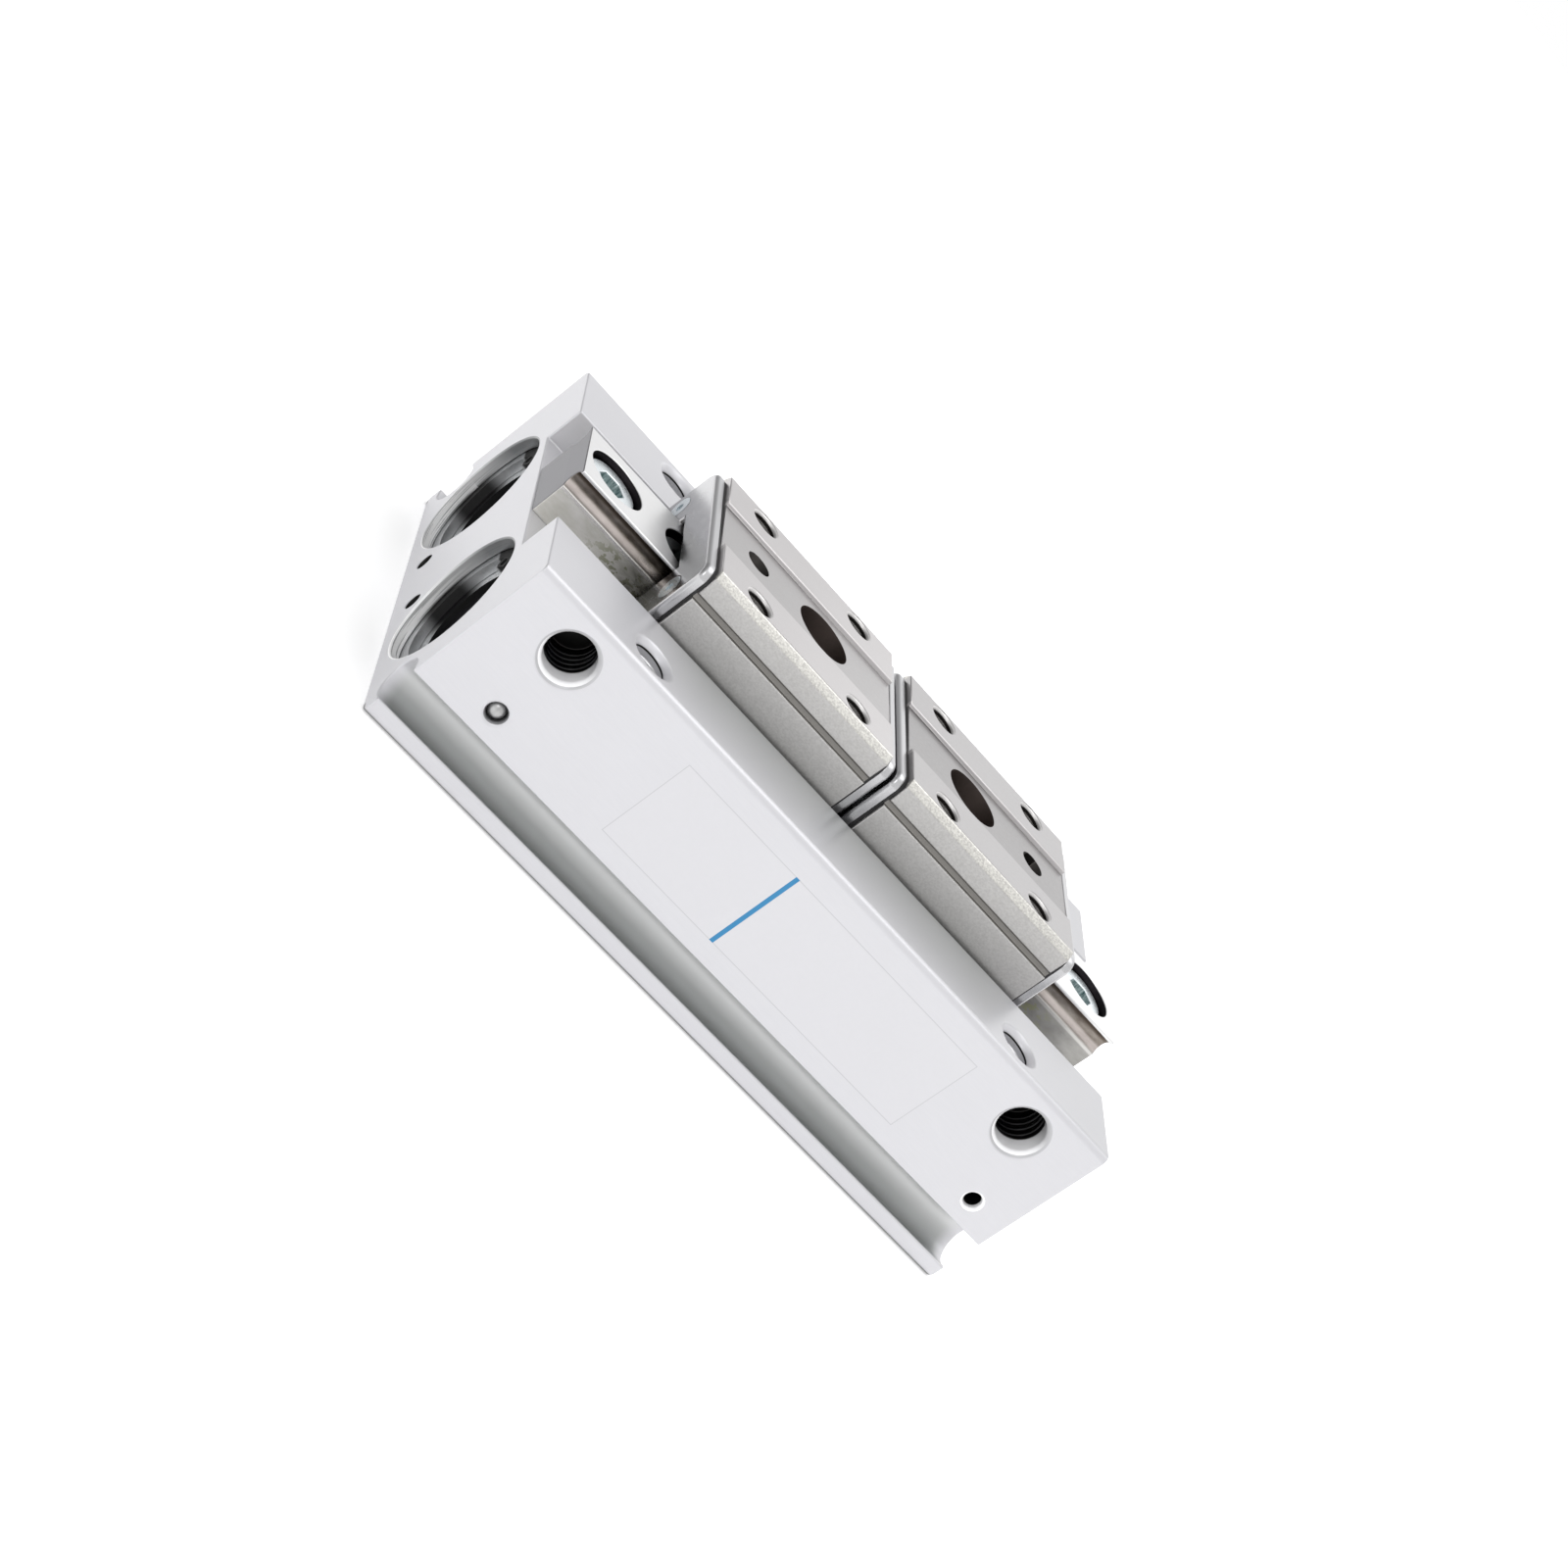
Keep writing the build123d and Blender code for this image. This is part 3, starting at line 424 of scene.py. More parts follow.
def finishBody():
    made = Finish("anodised", finishes["anodised"])
    tree = made.tree
    acrossX, acrossY = made.size(made.x), made.size(made.y)
    # painted shade: the right-hand top darker, and the flanges darker towards the carriages, which shade them and
    # mirror in them
    inward = made.without(made.fall(acrossY, body["flangeInner"], body["flangeOuter"]))
    beside = made.both(inward, made.band(acrossX, noEdge, body["flangeEnd"], soft=body["flangeSoft"]))
    top = made.band(made.z, body["topLow"], body["topHigh"])
    made.paint(made.both(top, made.fall(made.x, body["rightFrom"], body["rightFull"])), body["rightTopShade"])
    made.paint(made.both(top, beside), body["flangeShade"])
    # bores: painted light below and painted shade above, with fine rings, and a painted shade spot in each mouth
    bores = made.near(acrossY, made.z, (body["boreY"], body["boreZ"]), body["boreRadius"])
    rings = made.grain((1000.0 / body["ringPitch"], body["ringLength"], body["ringLength"]), detail=2.0)
    low, high = body["turnedRise"]
    rise = made.fall(made.z, body["boreZ"] + low, body["boreZ"] + high)
    made.paint(bores, mixColour(tree, rise, body["boreLitLow"], body["boreShadedHigh"]), rough=0.3, metallic=0.2)
    sharpest = calc(tree, "GREATER_THAN", rings["Value"], body["streakFrom"])
    streaks = made.both(sharpest, mixValue(tree, rise, *body["streakShare"]))
    made.paint(made.both(bores, streaks), body["turnedDark"])
    mouths = made.band(acrossX, body["mouthFrom"], body["mouthTo"], soft=0.3)
    made.paint(made.both(made.both(bores, made.boreShade()), mouths), body["paintedHoleShade"])
    made.height = mixValue(tree, made.both(bores, body["ringHeight"]), made.height, rings["Raw"])
    # painted shade along the foot of each side
    foot = made.band(made.z, body["footLow"], body["footHigh"], soft=0.1)
    made.paint(made.both(made.band(acrossY, body["footIn"], body["footOut"]), foot), body["footShadeLine"])
    # sensor grooves: painted shade, darker towards the lower lip
    depth = made.band(acrossY, body["grooveIn"], body["grooveOut"], soft=0.12)
    inside = made.both(depth, made.band(acrossX, noEdge, body["grooveEnd"], soft=body["grooveEndSoft"]))
    middle, half = body["grooveZ"], body["grooveHalf"]
    groove = made.both(inside, made.band(made.z, middle - half, middle + half))
    deep = made.fall(made.z, middle - 1.1 * half, middle + 0.8 * half)
    shade = mixColour(tree, deep, body["grooveDark"], body["grooveLight"])
    made.paint(made.both(groove, made.without(bores)), shade, rough=0.36, metallic=0.6)
    # painted highlight under the groove's upper edge
    eave = made.fall(made.z, body["eaveLow"], body["eaveHigh"], smooth=True)
    made.paint(made.both(groove, eave), body["grooveEaveHighlight"])
    # holes: painted highlights on the chamfers first, then painted shade inside
    front = made.band(made.y, body["frontOut"], body["frontIn"])
    atPort = acrossX, made.z, (body["portX"], body["portZ"])
    ports = made.both(front, made.near(*atPort, body["portRadius"]))
    side = made.both(front, made.near(made.x, made.z, (body["sideHoleX"], body["boreZ"]), body["sideHoleRadius"]))
    plug = made.both(front, made.near(made.x, made.z, (body["plugX"], body["boreZ"]), body["plugRadius"]))
    topHoles = made.both(
        made.band(made.z, body["topHoleMouth"] - body["topHoleBand"], body["topHoleMouth"], soft=0.02),
        made.near(acrossX, acrossY, (body["topHoleX"], body["topHoleY"]), body["topHoleRadius"]),
    )
    ends = made.both(
        made.band(acrossX, body["endHoleFrom"], body["endHoleTo"]),
        made.near(acrossY, made.z, (body["endHoleY"], body["endHoleZ"]), body["endHoleRadius"]),
    )
    low, high = body["portRise"]
    upper = made.fall(made.z, body["portZ"] + low, body["portZ"] + high, smooth=True)
    made.paint(ports, mixColour(tree, upper, body["chamferHighlight"], body["chamferShade"]), rough=0.35, metallic=0.05)
    core = made.near(*atPort, body["portRim"])
    made.paint(made.both(ports, made.without(core)), body["rimDull"], rough=0.4, metallic=0.3)
    made.paint(side, body["chamferHighlight"], rough=0.28, metallic=0.3)
    made.paint(plug, body["plugColour"], rough=0.28, metallic=0.7)
    inPorts = made.both(ports, made.band(made.y, body["portMouth"], 0.0, soft=0.15))
    inSide = made.both(side, made.band(made.y, body["sideHoleMouth"], 0.0, soft=0.08))
    inPlug = made.both(plug, made.band(made.y, body["plugRing"], 0.0, soft=0.02))
    made.paint(inPlug, body["plugRingShade"], rough=0.35, metallic=0.9)
    made.paint(made.either(inPorts, inSide, topHoles, ends), body["paintedHoleShade"], rough=0.35, metallic=0.9)
    return made.close()


# rail: ground top, oily races with painted light and shade on them, a painted highlight on the ridge below them, and
# painted shade in the screw holes and on the ends

rail = {
    # heights in mm, from the foot of the rail up
    "foot": 10.0, "raceLow": 18.45, "raceStep": 19.05, "eave": 19.75, "raceHigh": 20.25, "top": 20.6,
    "ridgeWidth": 0.35, "mossHigh": 17.9, "stainHigh": 20.4, "holeHigh": 20.58,
    # places along and across it
    "end": 33.84, "endTo": 35.0, "rightFrom": -10.0, "rightFull": 26.0, "raceIn": 3.0, "raceOut": 4.46,
    "mossIn": 21.0, "mossOut": 28.5, "stainFrom": 15.0, "oilyFrom": 25.6, "oilyTo": 28.4,
    "screwX": (30.4, 21.7), "holeRadius": 2.96,
    # patterns and how strongly they show
    "mottle": (420.0, 900.0, 900.0), "mossSpots": (1100.0, 1700.0, 1700.0), "blots": (700.0, 1500.0, 1500.0),
    "mossFrom": 0.58, "mossShare": 0.7, "ridgeFade": 0.6, "stainShare": 0.5,
    # painted highlights on the ridge and on the races' lower half; painted shade on the races, in the holes and on the
    # ends
    "baseLight": (0.95, 0.93, 0.89), "baseDark": (0.72, 0.71, 0.63), "ridge": (0.98, 0.96, 0.93),
    "rightLight": (0.42, 0.41, 0.395), "rightDark": (0.29, 0.285, 0.268),
    "raceLight": (0.34, 0.31, 0.28), "raceDark": (0.12, 0.095, 0.075),
    "raceHighlight": (0.66, 0.60, 0.57), "raceHighlightDark": (0.46, 0.41, 0.385),
    "moss": (0.34, 0.35, 0.20), "oily": (0.040, 0.034, 0.020),
    "holeShade": (0.03, 0.025, 0.028), "endShade": (0.195, 0.193, 0.205),
}


def finishRail():
    made = Finish("railSteel", finishes["railSteel"])
    tree = made.tree
    acrossX, acrossY = made.size(made.x), made.size(made.y)
    mottle = made.grain(rail["mottle"], detail=5.0)["Value"]
    # base: pale on the left, grey on the right, with greenish spots
    below = made.band(made.z, rail["foot"], rail["raceLow"])
    made.paint(below, mixColour(tree, mottle, rail["baseDark"], rail["baseLight"]), rough=0.36, metallic=0.8)
    right = made.fall(made.x, rail["rightFrom"], rail["rightFull"])
    made.paint(made.both(below, right), mixColour(tree, mottle, rail["rightDark"], rail["rightLight"]))
    spots = calc(tree, "GREATER_THAN", made.grain(rail["mossSpots"])["Value"], rail["mossFrom"])
    place = made.both(
        made.band(acrossX, rail["mossIn"], rail["mossOut"], soft=2.0),
        made.band(made.z, rail["foot"], rail["mossHigh"], soft=0.4),
    )
    made.paint(made.both(made.both(spots, place), rail["mossShare"]), rail["moss"], rough=0.3)
    # painted highlight along the ridge below the races, fainter to the right
    ridge = made.band(made.z, rail["raceLow"] - rail["ridgeWidth"], rail["raceLow"], soft=0.08)
    ridgeHighlight = made.both(ridge, made.without(made.both(right, rail["ridgeFade"])))
    made.paint(ridgeHighlight, rail["ridge"], rough=0.25, metallic=0.8)
    # races: oily brown darkened with painted shade, a warm painted highlight on their lower half, and painted shade
    # under the eave
    flank = made.both(
        made.band(acrossY, rail["raceIn"], rail["raceOut"], soft=0.02),
        made.band(made.z, rail["raceLow"], rail["raceHigh"], soft=0.12),
    )
    made.paint(flank, mixColour(tree, mottle, rail["raceDark"], rail["raceLight"]), rough=0.34)
    low = made.both(flank, made.band(made.z, rail["raceLow"], rail["raceStep"], soft=0.15))
    made.paint(low, mixColour(tree, mottle, rail["raceHighlightDark"], rail["raceHighlight"]), rough=0.3)
    eave = made.both(flank, made.band(made.z, rail["eave"], rail["top"], soft=0.2))
    made.paint(eave, rail["raceDark"], rough=0.4)
    # an oily stain towards the carriages
    along = made.band(acrossX, rail["stainFrom"], rail["oilyFrom"], soft=rail["oilyTo"] - rail["oilyFrom"])
    stains = made.both(along, made.band(made.z, rail["foot"], rail["stainHigh"]))
    blots = made.grain(rail["blots"], detail=4.0)["Value"]
    made.paint(made.both(stains, mixValue(tree, rail["stainShare"], 1.0, blots)), rail["oily"], rough=0.25)
    # painted shade in the screw holes and on the ends
    holes = [made.near(acrossX, made.y, (x, 0.0), rail["holeRadius"]) for x in rail["screwX"]]
    inHoles = made.both(made.either(*holes), made.band(made.z, rail["foot"], rail["holeHigh"]))
    made.paint(inHoles, rail["holeShade"], rough=0.4)
    made.paint(made.band(acrossX, rail["end"], rail["endTo"], soft=0.02), rail["endShade"], rough=0.42)
    return made.close()


# carriages: ground tops, blasted edges, painted shade in the dark line along each flank, in the recess, on the right
# carriage and in the holes, and a painted highlight on the recess's step

block = {
    # holes in the top, in mm from the carriage's middle, and the heights between which each shade lies
    "middle": 11.7, "top": 25.0, "accessOffset": 2.0, "accessRadius": 2.93, "pinOffset": 6.1, "pinRadius": 1.27,
    "threadX": 6.0, "threadY": 7.6, "threadRadius": 1.27, "rimRadius": 1.60,
    "holeLow": 15.0, "holeHigh": 24.58, "rimHigh": 24.96, "lipLow": 24.42, "lipHigh": 24.70,
    "holeShade": (0.22, 0.18, 0.165), "threadColour": (0.50, 0.49, 0.48), "rimColour": (0.60, 0.59, 0.585),
    "lipShade": (0.035, 0.032, 0.030), "pinHoleShade": (0.06, 0.055, 0.052),
    # edges and flanks
    "edgeY": 9.2, "edgeOut": 10.2, "edgeZ": 24.3, "edgeTop": 25.2, "flankY": 9.86, "flankOut": 10.5,
    "sparkle": (5000.0, 6400.0, 6400.0), "blasted": (0.70, 0.69, 0.65), "blastedDark": (0.47, 0.46, 0.44),
    "flankLight": (0.55, 0.542, 0.532), "flankDark": (0.47, 0.462, 0.452),
    "grooveIn": 9.3, "grooveOut": 9.85, "grooveLow": 21.92, "grooveHigh": 22.55, "flankGrooveShade": (0.26, 0.25, 0.235),
    # recess along the middle of the top, its step, and the right carriage: painted shade in the recess and on the right
    # carriage, a painted highlight on the step
    "recessY": 3.98, "stepY": 4.5, "stepLow": 23.0, "stepHigh": 24.98, "rightShare": 0.9,
    "recess": (0.425, 0.415, 0.416), "stepHighlight": (0.66, 0.64, 0.64),
    "rightTopShade": (0.405, 0.396, 0.398), "rightRecessShade": (0.32, 0.312, 0.313),
}


def finishBlocks():
    made = Finish("blockSteel", finishes["blockSteel"])
    tree = made.tree
    acrossX, acrossY = made.size(made.x), made.size(made.y)
    sparkle = made.grain(block["sparkle"], detail=1.0)["Value"]
    edge = made.both(
        made.band(acrossY, block["edgeY"], block["edgeOut"], soft=0.1),
        made.band(made.z, block["edgeZ"], block["edgeTop"], soft=0.1),
    )
    flank = made.both(made.without(edge), made.band(acrossY, block["flankY"], block["flankOut"], soft=0.02))
    # painted shade: the right carriage and the recess darker; a painted highlight on the recess's step
    right = made.fall(made.x, -1.0, 1.0)
    made.paint(made.both(right, block["rightShare"]), block["rightTopShade"])
    recess = made.band(acrossY, noEdge, block["recessY"], soft=0.02)
    made.paint(recess, mixColour(tree, right, block["recess"], block["rightRecessShade"]))
    step = made.both(
        made.band(acrossY, block["recessY"], block["stepY"], soft=0.02),
        made.band(made.z, block["stepLow"], block["stepHigh"], soft=0.01),
    )
    made.paint(step, block["stepHighlight"], rough=0.5)
    made.paint(edge, mixColour(tree, sparkle, block["blastedDark"], block["blasted"]), rough=0.38)
    made.paint(flank, mixColour(tree, sparkle, block["flankDark"], block["flankLight"]), rough=0.42)
    # painted shade in the groove along each flank
    groove = made.both(
        made.band(acrossY, block["grooveIn"], block["grooveOut"], soft=0.05),
        made.band(made.z, block["grooveLow"], block["grooveHigh"], soft=0.04),
    )
    made.paint(groove, block["flankGrooveShade"], rough=0.45)
    # holes: a pale rim, then the threads, then painted shade: a dark line at the top of each thread and the dark inside
    # of the access and pin holes
    fromMiddle = calc(tree, "SUBTRACT", acrossX, block["middle"] * mm)
    high = made.band(made.z, block["holeLow"], block["rimHigh"], soft=0.02)
    deep = made.band(made.z, block["holeLow"], block["holeHigh"], soft=0.02)
    access = made.near(fromMiddle, made.y, (-block["accessOffset"], 0.0), block["accessRadius"])
    pin = made.near(fromMiddle, made.y, (block["pinOffset"], 0.0), block["pinRadius"])
    atThread = made.size(fromMiddle), acrossY, (block["threadX"], block["threadY"])
    made.paint(made.both(made.near(*atThread, block["rimRadius"]), high), block["rimColour"], rough=0.4)
    thread = made.near(*atThread, block["threadRadius"])
    made.paint(made.both(thread, deep), block["threadColour"], rough=0.4)
    lip = made.band(made.z, block["lipLow"], block["lipHigh"], soft=0.03)
    made.paint(made.both(thread, lip), block["lipShade"], rough=0.4)
    made.paint(made.both(access, deep), block["holeShade"], rough=0.4)
    made.paint(made.both(pin, deep), block["pinHoleShade"], rough=0.4)
    return made.close()


# label: a pale foil with a hairline border and one blue line across

label = {
    "left": -14.95, "right": 20.15, "bottom": 7.25, "top": 16.15,  # mm
    "border": 0.07, "borderColour": (0.50, 0.50, 0.52),
    "lineX": -2.11, "lineWidth": 0.42, "blue": (0.020, 0.21, 0.43),
    "foil": {"light": (0.632, 0.629, 0.652), "dark": (0.617, 0.614, 0.637), "stretch": (2500.0, 2500.0, 2500.0)},
}


def finishLabel():
    made = Finish("labelFoil", dict(finishes["anodised"], **label["foil"]))
    edge = label["border"]
    inside = made.both(
        made.band(made.x, label["left"] + edge, label["right"] - edge, soft=0.02),
        made.band(made.z, label["bottom"] + edge, label["top"] - edge, soft=0.02),
    )
    made.paint(made.without(inside), label["borderColour"])
    half = label["lineWidth"] / 2
    line = made.both(
        made.band(made.x, label["lineX"] - half, label["lineX"] + half, soft=0.02),
        made.band(made.z, label["bottom"], label["top"], soft=0.02),
    )
    made.paint(line, label["blue"], rough=0.3, metallic=0.0)
    return made.close()


# caps, clips and plates: painted shade on the dish in each cap, on the clip ears and low in each bore mouth, and a
# paler rim on each plate, a painted highlight

caps = {"dishShade": (0.020, 0.020, 0.021), "dishRadius": 4.5}
clips = {"earLow": 10.9, "earHigh": 16.0, "earShade": (0.012, 0.012, 0.012)}
plates = {"rimLow": 24.05, "rimHigh": 26.0, "rim": (0.52, 0.52, 0.53)}


def finishCaps():
    made = Finish("capAluminium", finishes["capAluminium"])
    # painted shade on the cap's dish and on the spot low in each mouth
    dishShade = made.near(made.size(made.y), made.z, (body["boreY"], body["boreZ"]), caps["dishRadius"])
    made.paint(made.either(dishShade, made.boreShade()), caps["dishShade"], rough=0.4)
    return made.close()


def finishClips():
    made = Finish("clipSteel", finishes["clipSteel"])
    # painted shade on the clip's ears and on the spot low in each mouth
    ears = made.band(made.z, clips["earLow"], clips["earHigh"], soft=0.2)
    made.paint(made.either(ears, made.boreShade()), clips["earShade"], rough=0.75, metallic=0.2)
    return made.close()


def finishPlates():
    made = Finish("plateSteel", finishes["plateSteel"])
    # painted highlight on the top rim of each plate
    made.paint(made.band(made.z, plates["rimLow"], plates["rimHigh"], soft=0.05), plates["rim"], rough=0.32)
    return made.close()


# screws: a hatched painted glint in each socket, and painted shade on the heads where the carriages shade them

screws = {
    "socketRadius": 1.44, "socketLow": 14.0, "socketHigh": 19.97, "hatch": (5200.0, 900.0, 900.0),
    "socketDark": (0.06, 0.16, 0.17), "socketLight": (0.82, 0.90, 0.90),
    "coveredFrom": 10.0, "coveredTo": 25.5, "coveredWidth": 3.2, "coveredShare": 0.9, "coveredHead": (0.03, 0.03, 0.03),
}


def finishScrews():
    made = Finish("screwZinc", finishes["screwZinc"])
    acrossX = made.size(made.x)
    sockets = [made.near(acrossX, made.y, (x, 0.0), screws["socketRadius"]) for x in rail["screwX"]]
    inside = made.both(made.either(*sockets), made.band(made.z, screws["socketLow"], screws["socketHigh"], soft=0.02))
    # painted glint in the sockets
    hatch = made.grain(screws["hatch"], detail=2.0)["Value"]
    glint = mixColour(made.tree, hatch, screws["socketDark"], screws["socketLight"])
    made.paint(inside, glint, rough=0.35, metallic=0.6)
    # painted shade on the heads that the carriages cover
    covered = made.both(
        made.band(acrossX, screws["coveredFrom"], screws["coveredTo"]),
        made.band(made.size(made.y), noEdge, screws["coveredWidth"]),
    )
    made.paint(made.both(covered, screws["coveredShare"]), screws["coveredHead"], rough=0.4)
    return made.close()


makers = {
    "capAluminium": finishCaps, "clipSteel": finishClips, "screwZinc": finishScrews, "plateSteel": finishPlates,
    "anodised": finishBody, "railSteel": finishRail, "blockSteel": finishBlocks, "labelFoil": finishLabel,
}
materials = {name: Finish(name, values).close() for name, values in finishes.items() if name not in makers}
for name, maker in makers.items():
    materials[name] = maker()
print("finishes are made:", len(materials))


# frame nodes: each gets its finish, and the visible ones a copy with its edges broken

pieces = {
    # start of the node's name: finish, slot, width of the broken edge in mm
    "body": ("anodised", "anodised", 0.16),
    "label": ("labelFoil", "label", 0),
    "guide_rail": ("railSteel", "rail_steel", 0.10),
    "rail_screws": ("screwZinc", "screw_zinc", 0.12),
    "pinion": ("gearSteel", "gear_steel", 0),
    "passage_ball": ("gearSteel", "ball_steel", 0),
    "cap_rings": ("sealRubber", "seal_rubber", 0),
    "caps": ("capAluminium", "cap_aluminium", 0),
    "clips": ("clipSteel", "clip_steel", 0),
    "finger_block": ("blockSteel", "block_steel", 0.12),
    "guide_balls": ("ballSteel", "ball_steel", 0),
    "plate_screws": ("screwZinc", "screw_zinc", 0),
    "piston_seals": ("sealRubber", "seal_rubber", 0),
    "piston": ("pistonAluminium", "piston_aluminium", 0),
    "magnet": ("magnet", "magnet", 0),
    "arm": ("gearSteel", "gear_steel", 0),
    "end_plate": ("plateSteel", "plate_steel", 0.12),
    "end_seal": ("sealRubber", "seal_rubber", 0),
}


edges = {
    "weld": 0.0005, "flat": 0.6, "sharpest": 28, "segments": 3,  # mm, degrees, degrees, count
    "seatY": -19.7, "seatMargin": 0.1, "shortest": 0.8,  # mm
    "smoothTo": 40, "faceWeight": 100,  # degrees, percent
}


def settingsFor(nodeName):
    return pieces[max((key for key in pieces if nodeName.startswith(key)), key=len)]


def bodyOf(nodeName):
    bodies = frame["record"]["behaviour"]["bodies"]
    return next(name for name, members in bodies.items() if nodeName in members)


def atSeat(edge):
    # the label's seat stays sharp, so that the foil closes it
    margin = edges["seatMargin"]
    return all(
        v.co.y < edges["seatY"] * mm
        and label["left"] - margin < v.co.x / mm < label["right"] + margin
        and label["bottom"] - margin < v.co.z / mm < label["top"] + margin
        for v in edge.verts
    )


def breakEdges(nodeName, width):
    # a welded copy of the node whose sharp edges are rounded
    mesh = bmesh.new()
    mesh.from_mesh(frame["nodes"][nodeName].data)
    bmesh.ops.remove_doubles(mesh, verts=mesh.verts, dist=edges["weld"] * mm)
    flat = math.radians(edges["flat"])
    bmesh.ops.dissolve_limit(mesh, angle_limit=flat, verts=mesh.verts, edges=mesh.edges)
    limit = math.radians(edges["sharpest"])
    sharp = [e for e in mesh.edges if len(e.link_faces) == 2 and e.calc_face_angle() > limit]
    if nodeName == "body":
        sharp = [e for e in sharp if not atSeat(e)]
    if nodeName.startswith("finger_block"):
        # short edges are left, because the holes' rims reach the block's own edges
        sharp = [e for e in sharp if e.calc_length() > edges["shortest"] * mm]
    bmesh.ops.bevel(
        mesh, geom=sharp, offset=width * mm, offset_type="OFFSET", segments=edges["segments"], profile=0.5,
        affect="EDGES", clamp_overlap=False,
    )
    data = bpy.data.meshes.new(nodeName + "_finished")
    mesh.to_mesh(data)
    mesh.free()
    return data


def plainMesh(obj):
    # the mesh that an object's modifiers make
    graph = bpy.context.evaluated_depsgraph_get()
    made = obj.evaluated_get(graph)
    return bpy.data.meshes.new_from_object(made, preserve_all_data_layers=True, depsgraph=graph)


def smoothByWeight(obj):
    # flat faces stay flat to the eye beside their rounded edges
    for polygon in obj.data.polygons:
        polygon.use_smooth = True
    obj.data.set_sharp_from_angle(angle=math.radians(edges["smoothTo"]))
    modifier = obj.modifiers.new("weights", "WEIGHTED_NORMAL")
    modifier.keep_sharp = True
    modifier.weight = edges["faceWeight"]
    plain = plainMesh(obj)
    obj.modifiers.remove(modifier)
    obj.data = plain


def coat(obj, materialName):
    obj.data.materials.clear()
    obj.data.materials.append(materials[materialName])


def finishPiece(obj, materialName, rider, slotName, *replaced):
    coat(obj, materialName)
    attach(obj, rider)
    if replaced:
        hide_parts(*replaced)


for nodeName, obj in sorted(frame["nodes"].items()):
    materialName, slotName, width = settingsFor(nodeName)
    coat(obj, materialName)
    if width:
        copy = linkObject(nodeName + "_finished", breakEdges(nodeName, width))
        smoothByWeight(copy)
        finishPiece(copy, materialName, bodyOf(nodeName), slotName, nodeName)
print("finishes are on the frame's nodes")


# threads and balls, grown by geometry nodes

outOf = {"front": (0, -1, 0), "top": (0, 0, 1), "bottom": (0, 0, -1)}
faces = {"portFace": -19.9, "bodyTop": 18.8, "bodyBottom": 0}  # mm


def bothSides(value):
    return (-value, value)


def jawHoles(middle):
    return [
        (middle + x, y, block["top"]) for x in bothSides(block["threadX"]) for y in bothSides(block["threadY"])
    ]


threads = {
    # radius, pitch, depth of the first turn and length of the thread, in mm
    "portThreads": {
        "rider": "housing", "finish": "portThreadShade", "slot": "anodised", "way": "front",
        "places": [(x, faces["portFace"], body["portZ"]) for x in bothSides(body["portX"])],
        "radius": 2.1, "pitch": 0.8, "start": 2.4, "length": 3.2,
    },
    "topThreads": {
        "rider": "housing", "finish": "mountSteel", "slot": "anodised", "way": "top",
        "places": [
            (x, y, faces["bodyTop"]) for x in bothSides(body["topHoleX"]) for y in bothSides(body["topHoleY"])
        ],
        "radius": 1.65, "pitch": 0.7, "start": 0.85, "length": 4.2,
    },
    "bottomThreads": {
        "rider": "housing", "finish": "mountSteel", "slot": "anodised", "way": "bottom",
        "places": [(x, 0, faces["bodyBottom"]) for x in bothSides(body["topHoleX"])],
        "radius": 1.65, "pitch": 0.7, "start": 0.5, "length": 5.0,
    },
    "leftJawThreads": {
        "rider": "finger_left", "finish": "jawSteel", "slot": "block_steel", "way": "top",
        "places": jawHoles(-block["middle"]), "radius": 1.25, "pitch": 0.5, "start": 0.6, "length": 4.0,
    },
    "rightJawThreads": {
        "rider": "finger_right", "finish": "jawSteel", "slot": "block_steel", "way": "top",
        "places": jawHoles(block["middle"]), "radius": 1.25, "pitch": 0.5, "start": 0.6, "length": 4.0,
    },
}
ridgeShape = {"share": 0.36, "lift": 0.35, "steps": 28, "corners": 4}  # share of the pitch, of the ridge, counts
threadFinishes = {
    # the port threads are painted near-black, as shade deep in the ports
    "portThreadShade": {"light": (0.035, 0.035, 0.036), "dark": (0.012, 0.012, 0.012)},
    "mountSteel": {"light": (0.80, 0.80, 0.81), "dark": (0.66, 0.66, 0.67)},
    "jawSteel": {"light": (0.82, 0.81, 0.80), "dark": (0.62, 0.61, 0.60)},
}
ballRows = {
    "radius": 1.0, "count": 7, "pitch": 2.6, "spacing": 9.1, "height": 19.3,  # mm
    "segments": 24, "rings": 14,
}


def newGrower(name, inputs):
    tree = bpy.data.node_groups.new(name, "GeometryNodeTree")
    tree.interface.new_socket(name="Geometry", in_out="INPUT", socket_type="NodeSocketGeometry")
    for label, kind in inputs:
        tree.interface.new_socket(name=label, in_out="INPUT", socket_type="NodeSocket" + kind)
    tree.interface.new_socket(name="Geometry", in_out="OUTPUT", socket_type="NodeSocketGeometry")
    return tree, addNode(tree, "NodeGroupInput"), addNode(tree, "NodeGroupOutput")


def endGrower(tree, given, out, instance, rotation=None):
    placed = addNode(tree, "GeometryNodeInstanceOnPoints")
    real = addNode(tree, "GeometryNodeRealizeInstances")
    painted = addNode(tree, "GeometryNodeSetMaterial")
    tree.links.new(given.outputs["Geometry"], placed.inputs["Points"])
    tree.links.new(instance, placed.inputs["Instance"])
    if rotation is not None:
        tree.links.new(rotation, placed.inputs["Rotation"])
    tree.links.new(placed.outputs["Instances"], real.inputs["Geometry"])
    tree.links.new(real.outputs["Geometry"], painted.inputs["Geometry"])
    tree.links.new(given.outputs["Material"], painted.inputs["Material"])
    tree.links.new(painted.outputs["Geometry"], out.inputs["Geometry"])
    return tree


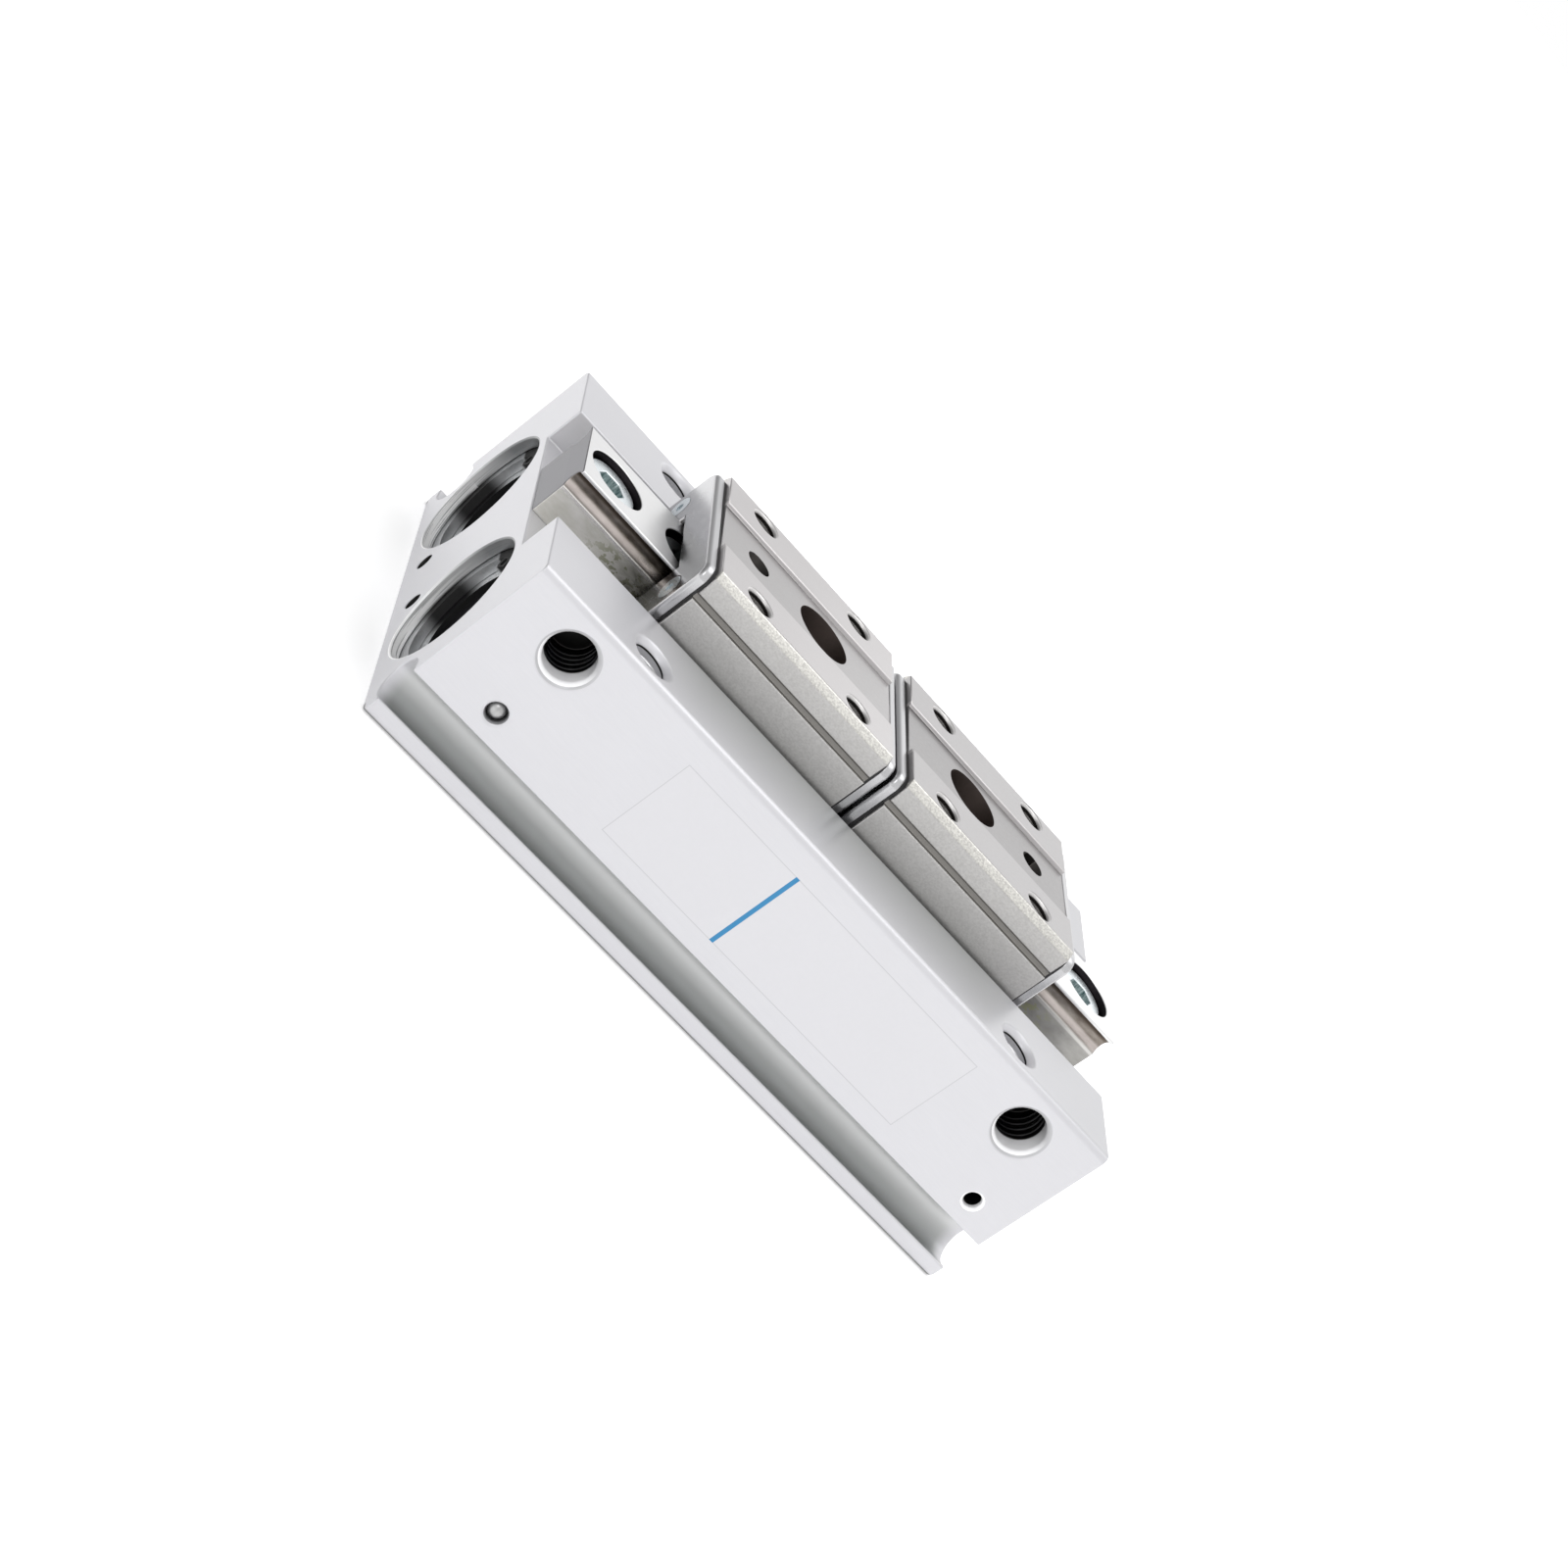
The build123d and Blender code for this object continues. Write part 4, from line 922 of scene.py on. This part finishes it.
def buildThreadGrower():
    # a helical ridge in each hole, its axis turned by the point's aim
    tree, given, out = newGrower("threadTurns", [
        ("Radius", "Float"), ("Pitch", "Float"), ("Depth", "Float"), ("Ridge", "Float"), ("Material", "Material"),
    ])
    turns = calc(tree, "DIVIDE", given.outputs["Depth"], given.outputs["Pitch"])
    helix = addNode(tree, "GeometryNodeCurveSpiral")
    helix.inputs["Resolution"].default_value = ridgeShape["steps"]
    tree.links.new(turns, helix.inputs["Rotations"])
    tree.links.new(given.outputs["Radius"], helix.inputs["Start Radius"])
    tree.links.new(given.outputs["Radius"], helix.inputs["End Radius"])
    tree.links.new(given.outputs["Depth"], helix.inputs["Height"])
    profile = addNode(tree, "GeometryNodeCurvePrimitiveCircle")
    profile.inputs["Resolution"].default_value = ridgeShape["corners"]
    tree.links.new(given.outputs["Ridge"], profile.inputs["Radius"])
    tube = addNode(tree, "GeometryNodeCurveToMesh")
    tube.inputs["Fill Caps"].default_value = True
    tree.links.new(helix.outputs[0], tube.inputs["Curve"])
    tree.links.new(profile.outputs[0], tube.inputs["Profile Curve"])
    aim = addNode(tree, "GeometryNodeInputNamedAttribute", data_type="FLOAT_VECTOR")
    aim.inputs["Name"].default_value = "aim"
    return endGrower(tree, given, out, tube.outputs["Mesh"], aim.outputs["Attribute"])


def buildBallGrower():
    tree, given, out = newGrower("ballRow", [("Radius", "Float"), ("Material", "Material")])
    ball = addNode(tree, "GeometryNodeMeshUVSphere")
    ball.inputs["Segments"].default_value = ballRows["segments"]
    ball.inputs["Rings"].default_value = ballRows["rings"]
    tree.links.new(given.outputs["Radius"], ball.inputs["Radius"])
    smooth = addNode(tree, "GeometryNodeSetShadeSmooth")
    tree.links.new(ball.outputs["Mesh"], smooth.inputs["Geometry"])
    return endGrower(tree, given, out, smooth.outputs["Geometry"])


def grow(name, tree, points, aims=None, **inputs):
    # what a tree grows on the points, as a plain mesh object
    mesh = bpy.data.meshes.new(name + "Points")
    mesh.from_pydata(points, [], [])
    if aims:
        aim = mesh.attributes.new("aim", "FLOAT_VECTOR", "POINT")
        aim.data.foreach_set("vector", [v for a in aims for v in a])
    carrier = linkObject(name + "Points", mesh)
    modifier = carrier.modifiers.new("grow", "NODES")
    modifier.node_group = tree
    for item in tree.interface.items_tree:
        if item.in_out == "INPUT" and item.name in inputs:
            modifier[item.identifier] = inputs[item.name]
    plain = plainMesh(carrier)
    plain.name = name
    carrier.modifiers.remove(modifier)
    bpy.data.objects.remove(carrier)
    return linkObject(name, plain)


for name, colours in threadFinishes.items():
    materials[name] = Finish(name, dict(finishes["gearSteel"], **colours)).close()
threadGrower = buildThreadGrower()
for name, thread in threads.items():
    ridge = thread["pitch"] * ridgeShape["share"]
    inward = -Vector(outOf[thread["way"]])
    aim = inward.to_track_quat("Z", "Y").to_euler()
    points = [(Vector(place) + inward * thread["start"]) * mm for place in thread["places"]]
    obj = grow(
        name, threadGrower, points, [aim] * len(points),
        Radius=(thread["radius"] + ridge * ridgeShape["lift"]) * mm, Pitch=thread["pitch"] * mm,
        Depth=thread["length"] * mm, Ridge=ridge * mm, Material=materials[thread["finish"]],
    )
    finishPiece(obj, thread["finish"], thread["rider"], thread["slot"])
ballGrower = buildBallGrower()
for side, middle in (("left", -block["middle"]), ("right", block["middle"])):
    first = middle - ballRows["pitch"] * (ballRows["count"] - 1) / 2
    places = [
        ((first + index * ballRows["pitch"]) * mm, row * ballRows["spacing"] / 2 * mm, ballRows["height"] * mm)
        for index in range(ballRows["count"]) for row in (-1, 1)
    ]
    obj = grow(f"{side}BallRows", ballGrower, places, Radius=ballRows["radius"] * mm, Material=materials["ballSteel"])
    finishPiece(obj, "ballSteel", f"finger_{side}", "ball_steel", f"guide_balls_{side}")
print("threads and ball rows are grown")

bpy.context.scene.view_settings.view_transform = "Standard"
